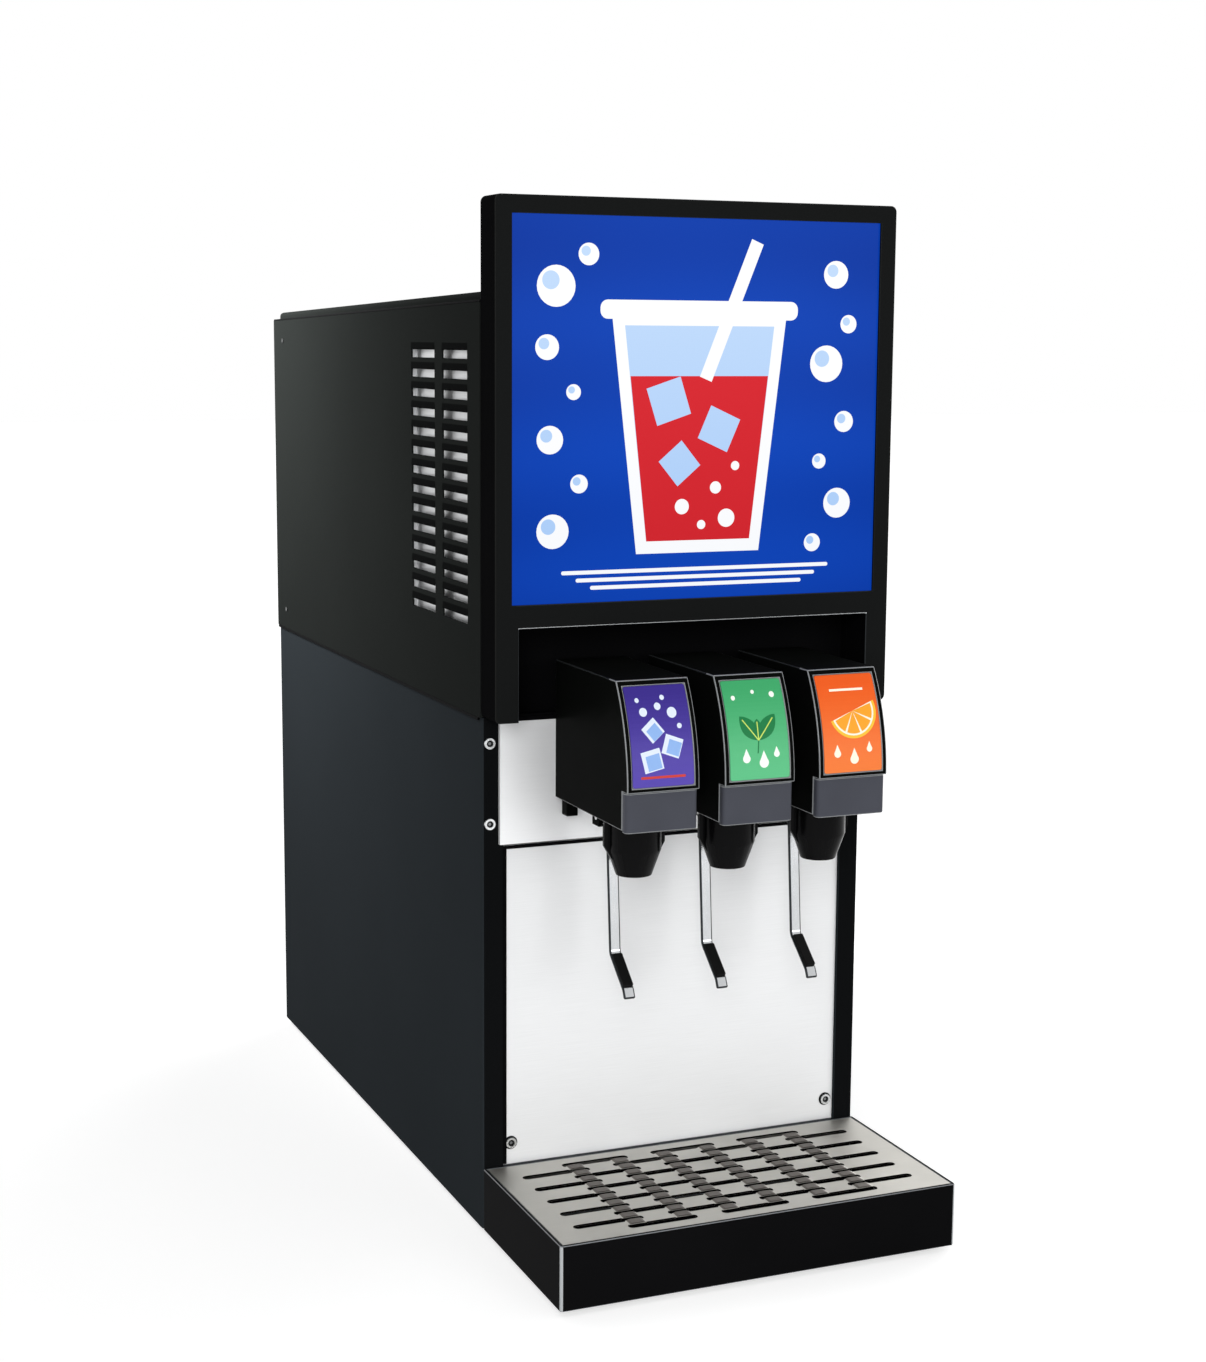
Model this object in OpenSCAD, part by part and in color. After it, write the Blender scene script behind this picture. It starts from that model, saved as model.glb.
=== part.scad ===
// Countertop soda fountain with three lever-operated dispensing valves, a backlit sign and a drip tray.
// Pieces are drawn in cabinet coordinates: x = 0 on the centre line, y = 0 on the front posts with +y to the
// rear, z = 0 under the base pan. place() then moves them so the footprint's centre is the origin.

/* [Cabinet] */
// Width across the lower side panels
cab_w = 280; // [270:1:310]
// Depth from the front posts to the rear panel
cab_d = 512; // [480:1:560]
// Height of the lower cabinet, from the base to the seam under the hood
lower_h = 348; // [335:1:380]
// Height of the hood at its rear edge
hood_h = 256; // [246:1:290]
// Extra height of the hood at the front
hood_rise = 10; // [2:1:16]
// How far the hood stands outside the lower panels on each side
hood_out = 2; // [1.8:0.1:4]
// Thickness of the sheet steel
sheet_t = 1.2; // [0.8:0.1:1.4]
// Width of the two front posts
post_w = 14.4; // [13:0.2:18]
// Outside radius of the front post corner
post_r = 2.5; // [2:0.5:5]
// Width of the folded stiffening flanges
flange_w = 12; // [8:1:12]
// Clearance between neighbouring panels
panel_gap = 0.4; // [0.3:0.1:0.5]

/* [Lid and feet] */
// Thickness of the lid
lid_t = 7; // [4.5:0.5:8]
// How far the lid is set in from the hood's sides and rear
lid_inset = 4.5; // [3:0.5:8]
// Radius along the lid's top edges
lid_r = 3.5; // [2:0.5:4]
// Height of the rubber feet
foot_h = 4; // [3:0.5:10]
// Diameter of the rubber feet
foot_d = 28; // [20:1:40]
// Distance of the feet from the cabinet's sides
foot_inset = 34; // [28:1:50]

/* [Louvres] */
// Length of one louvre slot
louvre_l = 50; // [40:1:54]
// Height of one louvre slot
louvre_h = 5.4; // [4.5:0.1:8]
// Distance between louvre rows
louvre_pitch = 13.2; // [11:0.1:14]
// Rows of louvres
louvre_rows = 14; // [8:1:14]
// Gap between the two louvre columns
louvre_space = 16; // [10:1:22]
// Distance of the first louvre column from the front posts
louvre_front = 22; // [18:1:40]
// Distance of the top louvre below the hood's rear edge
louvre_drop = 20.5; // [16:0.5:30]
// How far the louvre lips stand out of the hood
lip_out = 0.45; // [0.3:0.05:0.5]
// Distance of the vent screen behind the hood wall
screen_depth = 4; // [3:0.5:6]

/* [Sign box] */
// How far the sign stands outside the lower panels on each side
sign_over = 1.4; // [0:0.1:3]
// Depth of the sign box
sign_d = 27; // [24:1:40]
// Height of the sign box
sign_h = 331; // [320:1:350]
// Corner radius of the sign box
sign_r = 4; // [2:0.5:8]
// Gap between the sign's back and the front posts' plane
sign_gap = 2; // [1.5:0.1:3]
// Wall thickness of the sign frame
sign_wall = 2; // [1.5:0.5:3]
// Width of the frame beside and above the sign face
bezel_w = 11.4; // [9:0.2:16]
// Height of the visible sign face
window_h = 244; // [230:1:250]
// Thickness of the acrylic sign face
face_t = 3; // [2:0.5:5]
// Width of the two legs beside the valve recess
leg_w = 16; // [15:0.5:20]
// Height of the valve recess
notch_h = 60.5; // [55:0.5:68]
// Depth of the valve recess behind the posts' plane
recess_d = 6.6; // [5:0.2:10]

/* [Front panels] */
// Height of the valve plate
plate_h = 81.5; // [76:0.5:90]
// Drop of the valve plate's top edge below the seam
plate_drop = 3; // [2:0.5:6]
// How far the valve plate stands in front of the posts
plate_fwd = 3; // [2.5:0.5:5]
// Overlap of the valve plate on the posts
plate_lap = 3.2; // [1.4:0.2:4]
// How far the splash panel sits behind the front of the posts
splash_back = 3; // [2:0.5:5]
// Gap between the valve plate and the splash panel
splash_gap = 2; // [1:0.5:4]
// Diameter of the panel screw heads
screw_head_d = 7.3; // [6:0.1:9]
// Diameter of the panel screw sockets
screw_socket_d = 4.6; // [3.5:0.1:5]
// Thickness of the panel screw heads
screw_head_t = 2; // [1.5:0.1:2.4]
// Shank diameter of the panel screws
screw_d = 4; // [3:0.5:5]
// Diameter of the small hood screw heads
hood_screw_head_d = 3.6; // [3.2:0.1:6]
// Shank diameter of the hood screws
hood_screw_d = 2.5; // [2:0.5:3]

/* [Valves] */
// Distance of the outer valves from the cabinet's sides
valve_side = 49.75; // [46:0.25:52]
// Width of one valve
valve_w = 48.5; // [48:0.5:54]
// Height of one valve
valve_h = 92.5; // [88:0.5:98]
// Distance of the valves' underside below the seam
valve_drop = 56; // [52:1:60]
// Distance from the posts to the foremost line of the valve cover
valve_reach = 123; // [116:1:126]
// Radius of the cover's curved front
cover_r = 126; // [120:1:180]
// Wall thickness of the valve cover
cover_t = 2.4; // [1.8:0.1:2.6]
// Height of the grey front block
block_h = 25; // [22:0.5:28]
// Depth of the grey front block
block_d = 6; // [5:0.5:8]
// How far the front block sits behind the cover's front
block_back = 2; // [2:0.5:4]
// Radius of the front block's upright edges
block_r = 3; // [1:0.5:5]
// Margin of the flavour card inside the cover's face
card_inset = 3.5; // [3:0.5:7]
// Thickness of the flavour card
card_t = 0.8; // [0.5:0.1:1]
// Diameter of the solenoid coils
coil_d = 17; // [14:0.5:18]
// Length of the solenoid coils
coil_l = 24; // [18:1:28]
// Depth of the mounting block behind each valve
mount_d = 17; // [14:0.5:18]

/* [Nozzles] */
// Distance of the nozzle axis in front of the posts
nozzle_y = 78; // [76:0.5:80]
// Outside diameter of the nozzle's collar
nozzle_d = 35; // [33:0.5:37]
// Length of the nozzle
nozzle_l = 36; // [34:0.5:40]
// Length of the nozzle's straight collar
nozzle_collar = 19; // [16:0.5:20]
// Outside diameter at the nozzle's tip
nozzle_tip_d = 23; // [21:0.5:24]
// Diameter of the spigot that carries the nozzle
spigot_d = 26; // [24:0.5:27]
// Length of the spigot below the valve
spigot_l = 20; // [18:0.5:22]
// Reach of the nozzle's side wings beyond its collar
wing_reach = 3.5; // [2:0.5:5]
// Thickness of the nozzle's side wings
wing_t = 3; // [2:0.5:5]
// Radial running clearance of the nozzle, levers, fan and agitator
run_fit = 0.05; // [0.03:0.01:0.08]

/* [Levers] */
// Width of the lever strip
lever_w = 8; // [7:0.5:10]
// Thickness of the lever strip
lever_t = 2.4; // [2:0.2:3]
// Distance of the lever pivot in front of the posts
pivot_y = 41; // [40:0.5:43]
// Distance of the lever pivot below the valve
pivot_drop = 6; // [5.5:0.5:8]
// Diameter of the lever pin
pin_d = 4; // [3:0.5:5]
// Diameter of the lever hub round the pin
hub_d = 9; // [8:0.5:10]
// Length of the lever's upright run
run_1 = 87.5; // [76:0.5:92]
// Length of the lever's sloping run
run_2 = 25; // [18:0.5:26]
// Length of the lever's tip
run_3 = 5; // [4:0.5:10]
// Bend radius of the lever
bend_r = 6; // [4:0.5:10]
// Thickness of the rubber lever pad
pad_t = 2.2; // [1.5:0.1:3]

/* [Drip tray] */
// Depth of the drip tray in front of the posts
tray_d = 141; // [136:0.5:150]
// Height of the drip tray
tray_h = 42.5; // [38:0.5:48]
// Wall thickness of the drip tray
tray_wall = 2.2; // [1.8:0.1:3]
// Width of the ledge that carries the grate
ledge_w = 4; // [3:0.5:6]
// Corner radius of the drip tray
tray_r = 2; // [1:0.5:4]
// Clearance between the drip tray and what it meets
tray_gap = 0.5; // [0.3:0.1:0.8]
// Thickness of the cup grate
grate_t = 1.2; // [0.8:0.1:2]
// Clearance round the cup grate
grate_gap = 0.3; // [0.3:0.1:0.6]
// Depth of the cup grate's folded skirt
skirt_h = 8; // [5:0.5:12]
// Overlap of the slots in neighbouring grate rows
slot_lap = 15.2; // [12:0.1:18]
// Width of one grate slot
slot_w = 6.6; // [5:0.1:7]
// Plain margin at the ends of the longest grate rows
slot_end = 16.2; // [12:0.1:20]
// Plain margin in front of and behind the grate rows
row_end = 11.8; // [9:0.1:14]
// Rise of the pressed drain bridges between slots
bridge_rise = 0.9; // [0.6:0.1:1.1]
// Gap between neighbouring drain bridges
bridge_gap = 4.6; // [4:0.1:6]

/* [Services] */
// Outside diameter of the inlet stubs
stub_d = 8; // [6:0.5:10]
// How far the inlet stubs stand out of the rear panel
stub_l = 22; // [16:1:30]
// Distance between inlet stubs
stub_pitch = 38; // [30:1:42]
// Height of the inlet stubs above the base
stub_z = 70; // [60:1:90]
// Bore of the cord gland
gland_bore = 8.4; // [6:0.2:10]
// Diameter of the cord gland's collar
gland_d = 24; // [20:1:30]
// Width of the rocker switch key
rocker_w = 14; // [12:0.5:18]
// Height of the rocker switch key
rocker_h = 22; // [20:0.5:28]
// Tilt of the rocker key at rest
rocker_tilt = 10; // [6:1:12]

/* [Chilling] */
// Distance of the insulated water bath from the cabinet's sides
bath_side = 22; // [20:1:30]
// Depth of the insulated water bath
bath_d = 310; // [290:1:320]
// Wall thickness of the bath's insulation
bath_wall = 18; // [14:1:22]
// Clearance between the evaporator coil stack and the bath's walls
evap_gap = 10; // [8:1:14]
// Diameter of the carbonator
carb_d = 76; // [70:1:80]
// Height of the carbonator
carb_h = 230; // [200:1:250]
// Diameter of the fan
fan_d = 150; // [130:1:156]
// Diameter of the compressor
comp_d = 140; // [120:1:150]
// Height of the compressor
comp_h = 170; // [150:1:190]
// Diameter of the water pump's motor
pump_d = 84; // [70:1:90]

/* [Hidden] */
$fn = 64;

// Overshoot of a cut past the face that it opens
cut = 1;
// Free play of a screw or fitting in its hole, across the diameter
hole_fit = 0.1;
// Gap between faces that lie on each other
lap_gap = 0.1;

// Part frame: the footprint's centre is the origin
front_y = (tray_d - cab_d - stub_l) / 2;

// Cabinet
half_w = cab_w / 2;
wall_in = half_w - sheet_t;
post_in = half_w - post_w;
return_d = post_r + flange_w - sheet_t;
hood_x1 = half_w + hood_out;
hood_x0 = hood_x1 - sheet_t;
rear_in = cab_d - sheet_t;
deck_z1 = lower_h + sheet_t;
hood_z0 = lower_h + panel_gap;
hood_zr = lower_h + hood_h;
hood_zf = hood_zr + hood_rise;
hood_y0 = -sign_gap;
hood_slope = atan2(hood_rise, cab_d + sign_gap);
flange_x = hood_x0 - flange_w;
louvre_z = hood_zr - louvre_drop;
lip_gap = 1.5;
lip_h = louvre_pitch - louvre_h - lip_gap;
pan_t = 2;
lower_vent_drop = 40;
lower_vent_rows = 4;
hood_vent_drop = 50;
hood_vent_rows = 9;
rear_flange = 42;
lid_gap = 0.05;
screen_margin = 6;
screen_y0 = louvre_front - screen_margin;
screen_y1 = louvre_front + 2 * louvre_l + louvre_space + screen_margin;
screen_z0 = louvre_z - (louvre_rows - 1) * louvre_pitch - louvre_h - screen_margin;
screen_z1 = louvre_z + screen_margin;

// Front panels
plate_z1 = lower_h - plate_drop;
plate_z0 = plate_z1 - plate_h;
splash_z0 = tray_h - tray_gap;
splash_z1 = plate_z0 - splash_gap;
splash_x = post_in - panel_gap;
splash_y1 = splash_back + sheet_t;
liner_gap = 0.6;

// Screws
screw_l = 10;
socket_t = 1.4;
post_screw_x = half_w - post_w / 3;
post_screw_in = 14;
post_screw_z = [plate_z1 - post_screw_in, plate_z0 + post_screw_in];
splash_screw_in = 6;
splash_screw_up = 15;
splash_screw_x = splash_x - splash_screw_in;
splash_screw_z = splash_z0 + splash_screw_up;
hood_head_t = 0.6;
hood_screw_l = 6;
hood_screw_in = 29;
hood_screw_edge = 16;
hood_screw_y = cab_d - hood_screw_in;
hood_screw_z = [hood_zr - hood_screw_edge, hood_z0 + hood_screw_edge];

// Sign box
sign_x = half_w + sign_over;
sign_z0 = lower_h + panel_gap;
sign_z1 = sign_z0 + sign_h;
sign_y0 = -sign_gap - sign_d;
sign_y1 = -sign_gap;
notch_x = sign_x - leg_w;
notch_z = sign_z0 + notch_h;
window_x = sign_x - bezel_w;
window_z1 = sign_z1 - bezel_w;
window_z0 = window_z1 - window_h;
cavity_x = sign_x - sign_wall;
cavity_z0 = notch_z + sign_wall;
cavity_z1 = sign_z1 - sign_wall;
face_lap = 5;
led_standoff = 6;
led_t = 1.5;
led_inset = 8;
lamp_rows = 5;
lamp_w = 8;
lamp_t = 2;
led_post_in = 20;
led_post_d = 8;

// Valves
valve_pitch = half_w - valve_w / 2 - valve_side;
valve_z0 = lower_h - valve_drop;
valve_z1 = valve_z0 + valve_h;
block_z1 = valve_z0 + block_h;
block_y0 = block_back - valve_reach;
block_y1 = block_y0 + block_d;
cover_back = -plate_fwd - panel_gap;
cover_cy = cover_r - valve_reach;
cover_cz = block_z1;
cover_lift = 1;
cover_in = valve_w / 2 - cover_t;
base_x = cover_in - panel_gap;
base_t = 5;
mount_y0 = -plate_fwd - mount_d;
base_y1 = mount_y0 - panel_gap;
core_in = 3;
coil_room = 20;
coil_gap = 1;
coil_front = 8;
core_top = valve_z1 - cover_t - coil_l - coil_room;
ear_t = 3;
ear_x = lever_w;
ear_margin = 1;
lever_gap = 0.3;
well_x = ear_x - lever_gap;
well_front = 21;
well_rear = 7;
well_h = 26;
well_y0 = -pivot_y - well_front;
well_y1 = -pivot_y + well_rear;
well_z1 = valve_z0 + well_h;
port_d = 6;
port_l = 8;
pin_fit = 0.04;
pivot_z = valve_z0 - pivot_drop;
spigot_z = valve_z0 - spigot_l;
card_z0 = block_z1 + card_inset;
card_z1 = valve_z1 - card_inset;
card_x = valve_w / 2 - card_inset;
card_gap = 0.2;
mount_in = 1;
mount_up = 4;
mount_h = 42;
latch_in = 6;
latch_w = 8;
latch_d = 9;
latch_h = 11;
micro_w = 10;
micro_gap = 6;
micro_below = 8;
micro_above = 3;

// Nozzles
nozzle_gap = 0.3;
nozzle_wall = 2;
nozzle_step = 4;
nozzle_z1 = valve_z0 - nozzle_gap;
nozzle_z0 = nozzle_z1 - nozzle_l;
collar_z = nozzle_z1 - nozzle_collar;
nozzle_bore_r = spigot_d / 2 + run_fit;
outlet_r = nozzle_tip_d / 2 - nozzle_wall;
wing_chamfer = 1;
wing_drop = 3;
wing_foot = 6;
diffuser_l = 7;
diffuser_d = 13;
diffuser_taper = 4;

// Levers: a strip walked from the pivot down through two bends
angle_1 = -94.8;
angle_2 = -140;
angle_3 = -116;
bend_steps = 6;
finger_l = 20;
pad_in = 0.5;

// Drip tray
tray_x = half_w;
tray_y0 = -tray_d;
tray_y1 = -tray_gap;
tray_in = tray_x - tray_wall;
grate_sink = 0.1;
ledge_z = tray_h - grate_t - grate_gap - grate_sink;
ledge_t = 3.5;
grate_x = tray_in - grate_gap;
grate_z1 = tray_h - grate_sink;
grate_z0 = grate_z1 - grate_t;
grate_y0 = tray_y0 + tray_wall + grate_gap;
grate_y1 = tray_y1 - tray_wall - grate_gap;
grate_rows = 11;
row_slots = 4;
row_pitch = (grate_y1 - grate_y0 - 2 * row_end) / (grate_rows - 1);
row_y0 = grate_y0 + row_end;
slot_pitch = (2 * (grate_x - slot_end) - slot_lap) / (row_slots - 1 / 2);
slot_l = slot_pitch / 2 + slot_lap;
tongue_w = 20;
tongue_t = 3;
tongue_z = 14;
tongue_grip = 5;
tongue_y1 = splash_y1 + tongue_grip;
tongue_x = half_w / 2;
tray_foot_d = 16;
tray_foot_in = 20;
tray_foot_side = 24;
tray_foot_x = tray_x - tray_foot_side;
bridge_margin = 1.5;
bridge_ramp = 2.4;
skirt_in = ledge_w + grate_gap;
skirt_x = grate_x - skirt_in;

// Services
stub_wall = 1.2;
stub_in = 30;
stub_body_l = 12;
stub_body_wall = 2;
stub_flange_w = 4;
stub_body_d = stub_d + 2 * stub_body_wall;
stub_flange_d = stub_d + 2 * stub_flange_w;
stub_flange_t = 4;
stub_xs = [for (i = [-2 : 2]) i * stub_pitch];
gland_side = 40;
gland_rise = 70;
gland_in = 16;
gland_out = 10;
gland_x = half_w - gland_side;
gland_z = stub_z + gland_rise;
gland_step = 4;
gland_body_d = gland_d - 2 * gland_step;
switch_x = -gland_x;
switch_z = gland_z;
switch_wall = 3;
switch_lip = 3;
switch_d = 18;
rocker_gap = 0.5;
rocker_pin_d = 3;
switch_x1 = rocker_w / 2 + switch_wall;
switch_z1 = rocker_h / 2 + switch_wall;
switch_lip_t = 2;
rocker_back = 4;
rocker_front = 4;
rocker_crown = 5.5;
rocker_pin_y = cab_d - rocker_back;

// Chilling
bath_w = cab_w - 2 * bath_side;
bath_front = 8;
bath_y0 = return_d + bath_front;
bath_y1 = bath_y0 + bath_d;
bath_top_gap = 1;
bath_z1 = lower_h - sheet_t - bath_top_gap;
bath_floor = pan_t + bath_wall;
bath_cy = (bath_y0 + bath_y1) / 2;
evap_h = 230;
evap_d = bath_w - 2 * bath_wall - 2 * evap_gap;
evap_t = 6;
carb_x = -30;
carb_wall = 2.5;
carb_port_d = 16;
carb_port_l = 14;
agit_x = 45;
agit_shaft_d = 8;
agit_blade_r = 22;
agit_motor_d = 56;
agit_motor_h = 70;
agit_socket = 20;
agit_z0 = 120;
agit_hub_d = 14;
agit_hub_below = 2;
agit_clear = 3;
agit_end_gap = 0.3;
agit_blades = 3;
agit_blade_w = 10;
agit_blade_up = 5;
agit_twist = 30;
blade_t = 1.6;
comp_rear = 42;
comp_y = cab_d - comp_d / 2 - comp_rear;
comp_wall = 18;
comp_dome_h = 50;
comp_foot_t = 8;
comp_lug = 10;
cond_gap = 8;
cond_t = 36;
cond_rows = 12;
cond_frame = 6;
cond_slot = 8;
cond_back = 10;
cond_x0 = -hood_x0 + screen_depth + cond_gap;
cond_x1 = cond_x0 + cond_t;
fan_gap = 6;
fan_rise = 40;
fan_y = (screen_y0 + screen_y1) / 2;
fan_z = deck_z1 + fan_d / 2 + fan_rise;
fan_x = cond_x1 + fan_gap;
fan_blades = 5;
fan_blade_w = 30;
fan_blade_root = 4;
fan_twist = 28;
fan_w = 20;
fan_hub_d = 36;
fan_shaft_d = 6;
fan_motor_d = 64;
fan_motor_l = 46;
fan_leg_w = 20;
fan_leg_d = 30;
fan_leg_x = 10;
pump_y = (bath_y1 + rear_in) / 2;
pump_l = 110;
pump_head_l = 45;
pump_head_d = 50;
pump_foot_l = 80;
pump_foot_w = 60;
pump_rise = 10;
pump_z = pan_t + pump_rise + pump_d / 2;
box_h = 90;
box_hole_d = 20;
box_in = 20;
box_d = 110;
box_side = 6;
box_lo = [box_in, box_in, deck_z1];
box_hi = [flange_x - box_side, box_in + box_d, deck_z1 + box_h];

// Helpers

// Moves a piece from cabinet coordinates to the part's frame
module place() {
  translate([0, front_y, foot_h]) children();
}

// Box between two corners
module span(lo, hi) {
  translate(lo) cube(hi - lo);
}

// Extrudes a profile drawn in (y, z) from x0 to x1
module along_x(x0, x1) {
  translate([x0, 0, 0]) rotate([90, 0, 90]) linear_extrude(x1 - x0) children();
}

// Extrudes a profile drawn in (x, z) from y0 to y1
module along_y(y0, y1) {
  translate([0, y1, 0]) rotate([90, 0, 0]) linear_extrude(y1 - y0) children();
}

// Cylinder along x
module rod_x(x0, x1, y, z, d) {
  translate([x0, y, z]) rotate([0, 90, 0]) cylinder(h = x1 - x0, d = d);
}

// Cylinder along y
module rod_y(y0, y1, x, z, d) {
  translate([x, y1, z]) rotate([90, 0, 0]) cylinder(h = y1 - y0, d = d);
}

// Rectangle between two corners, in any drawing plane
module area(lo, hi) {
  translate(lo) square(hi - lo);
}

// Rectangle between two corners with true round corners
module round_area(lo, hi, r) {
  area(lo + [r, 0], hi - [r, 0]);
  area(lo + [0, r], hi - [0, r]);
  for (x = [lo[0] + r, hi[0] - r], y = [lo[1] + r, hi[1] - r]) translate([x, y]) circle(r);
}

// Height of the hood's top edge at depth y
function hood_top(y) = hood_zf - (y + sign_gap) * tan(hood_slope);

// Centre of valve k, counted from 0 at the left
function valve_x(k) = (k - 1) * valve_pitch;

// Cabinet shell

module base_pan() {
  color("#3a3d40") place() difference() {
    union() {
      span([panel_gap - wall_in, return_d + panel_gap, 0], [wall_in - panel_gap, rear_in - panel_gap, pan_t]);
      span([-splash_x, splash_back, 0], [splash_x, return_d + panel_gap, pan_t]);
      span([-splash_x, splash_back, 0], [splash_x, splash_y1, splash_z0 - panel_gap]);
    }
    for (s = [-1, 1])
      span([s * tongue_x - tongue_w / 2 - tray_gap, 0, tongue_z - tray_gap],
           [s * tongue_x + tongue_w / 2 + tray_gap, splash_y1 + cut, tongue_z + tongue_t + tray_gap]);
  }
}

// Right-hand lower panel with its folded front post and top flange
module side_panel() {
  linear_extrude(lower_h) {
    area([wall_in, post_r], [half_w, cab_d]);
    area([post_in, 0], [half_w - post_r, sheet_t]);
    area([post_in, 0], [post_in + sheet_t, return_d]);
    intersection() {
      translate([half_w - post_r, post_r]) difference() {
        circle(post_r);
        circle(post_r - sheet_t);
      }
      area([half_w - post_r, 0], [half_w, post_r]);
    }
  }
  span([wall_in - flange_w, return_d + panel_gap, lower_h - sheet_t],
       [wall_in, rear_in - panel_gap, lower_h]);
}

module post_holes() {
  for (z = post_screw_z) rod_y(-cut, sheet_t + cut, post_screw_x, z, screw_d + hole_fit);
}

module left_side_panel() {
  color("#25282b") place() mirror([1, 0, 0]) difference() {
    side_panel();
    post_holes();
  }
}

module right_side_panel() {
  color("#25282b") place() difference() {
    side_panel();
    post_holes();
  }
}

// Rear panel folded forward at both sides, with holes for the services
module rear_panel() {
  x1 = wall_in - panel_gap;
  color("#2b2d2e") place() difference() {
    union() {
      span([-x1, rear_in, pan_t + panel_gap], [x1, cab_d, lower_h - panel_gap]);
      for (s = [0, 1]) mirror([s, 0, 0])
        span([x1 - sheet_t, rear_in - flange_w, pan_t + panel_gap],
             [x1, rear_in, lower_h - sheet_t - panel_gap]);
    }
    for (x = stub_xs) rod_y(rear_in - cut, cab_d + cut, x, stub_z, stub_body_d + hole_fit);
    rod_y(rear_in - cut, cab_d + cut, gland_x, gland_z, gland_body_d + hole_fit);
    translate([switch_x, 0, switch_z])
      span([-switch_x1 - lap_gap, rear_in - cut, -switch_z1 - lap_gap],
           [switch_x1 + lap_gap, cab_d + cut, switch_z1 + lap_gap]);
    rear_slots(lower_h - lower_vent_drop, lower_vent_rows);
  }
}

// Rows of ventilation slots in a rear panel, downwards from z
module rear_slots(z, rows) {
  for (c = [-1 : 1], r = [0 : rows - 1])
    translate([c * (louvre_l + louvre_space), 0, z - r * louvre_pitch])
      span([-louvre_l / 2, rear_in - cut, -louvre_h], [louvre_l / 2, cab_d + cut, 0]);
}

module deck_plate() {
  color("#8f9498") place() difference() {
    span([-hood_x0 + panel_gap, recess_d + sheet_t + panel_gap, lower_h],
         [hood_x0 - panel_gap, rear_in - panel_gap, deck_z1]);
    translate([agit_x, bath_cy, lower_h - cut])
      cylinder(h = sheet_t + 2 * cut, d = agit_shaft_d + 2 * agit_clear);
  }
}

// Right-hand hood panel with louvres, and flanges towards the deck, the sign and the lid
module hood_side() {
  along_x(hood_x0, hood_x1) difference() {
    polygon([[hood_y0, hood_z0], [cab_d, hood_z0], [cab_d, hood_zr], [hood_y0, hood_zf]]);
    for (c = [0, 1], r = [0 : louvre_rows - 1])
      translate([louvre_front + c * (louvre_l + louvre_space), louvre_z - r * louvre_pitch - louvre_h])
        square([louvre_l, louvre_h]);
    for (z = hood_screw_z) translate([hood_screw_y, z]) circle(d = hood_screw_d + hole_fit);
  }
  for (c = [0, 1], r = [0 : louvre_rows - 1]) louvre_lip(c, louvre_z - r * louvre_pitch);
  along_x(flange_x, hood_x0) polygon([
    [hood_y0, hood_zf - sheet_t], [rear_in - panel_gap, hood_top(rear_in - panel_gap) - sheet_t],
    [rear_in - panel_gap, hood_top(rear_in - panel_gap)], [hood_y0, hood_zf]
  ]);
  span([flange_x, hood_y0, deck_z1], [hood_x0, hood_y0 + sheet_t, hood_zf - sheet_t / 2]);
  span([flange_x, hood_y0, deck_z1], [hood_x0, rear_in - panel_gap, deck_z1 + sheet_t]);
}

// Sloping lip pressed out above the louvre slot of column c whose top is at z
module louvre_lip(c, z) {
  x0 = hood_x0 + sheet_t / 2;
  y0 = louvre_front + c * (louvre_l + louvre_space);
  along_y(y0, y0 + louvre_l)
    polygon([[x0, z], [hood_x1 + lip_out, z], [hood_x1, z + lip_h], [x0, z + lip_h]]);
}

module hood_left_panel() {
  color("#1d1f20") place() mirror([1, 0, 0]) hood_side();
}

module hood_right_panel() {
  color("#1d1f20") place() hood_side();
}

module hood_rear_panel() {
  x1 = hood_x0 - lap_gap;
  z0 = deck_z1 + sheet_t + panel_gap;
  z1 = hood_zr - sheet_t - panel_gap;
  color("#1d1f20") place() difference() {
    union() {
      span([-x1, rear_in, hood_z0], [x1, cab_d, hood_zr - panel_gap]);
      for (s = [0, 1]) mirror([s, 0, 0]) span([x1 - sheet_t, cab_d - rear_flange, z0], [x1, rear_in, z1]);
    }
    for (s = [0, 1], z = hood_screw_z) mirror([s, 0, 0])
      rod_x(x1 - sheet_t - cut, x1 + cut, hood_screw_y, z, hood_screw_d + hole_fit);
    rear_slots(hood_zr - hood_vent_drop, hood_vent_rows);
  }
}

// Pan lid with rounded long edges, lying on the hood's sloping flanges
module hood_lid() {
  x1 = hood_x1 - lid_inset;
  l = (cab_d + sign_gap - lid_inset) / cos(hood_slope);
  color("#1d1f20") place() translate([0, hood_y0 + panel_gap, hood_zf + lid_gap]) rotate([-hood_slope, 0, 0])
    difference() {
      along_y(0, l) {
        area([-x1, 0], [x1, lid_t - lid_r]);
        area([lid_r - x1, 0], [x1 - lid_r, lid_t]);
        for (s = [-1, 1]) translate([s * (x1 - lid_r), lid_t - lid_r]) circle(lid_r);
      }
      span([-x1 - cut, -cut, -lid_t], [x1 + cut, l + cut, 0]);
      span([lid_r - x1, sheet_t, -cut], [x1 - lid_r, l - sheet_t, lid_t - sheet_t]);
    }
}

module rubber_feet() {
  color("#151515") place() for (x = [-1, 1], y = [foot_inset, cab_d - foot_inset])
    translate([x * (half_w - foot_inset), y, -foot_h]) cylinder(h = foot_h, d = foot_d);
}

// Front panels

// Shallow stainless pan whose folded sides lie on the posts
module valve_plate() {
  x1 = post_in + plate_lap;
  color("#dfe1e3") place() {
    span([-x1, -plate_fwd, plate_z0], [x1, sheet_t - plate_fwd, plate_z1]);
    for (s = [0, 1]) mirror([s, 0, 0]) span([x1 - sheet_t, -plate_fwd, plate_z0], [x1, 0, plate_z1]);
  }
}

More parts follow.
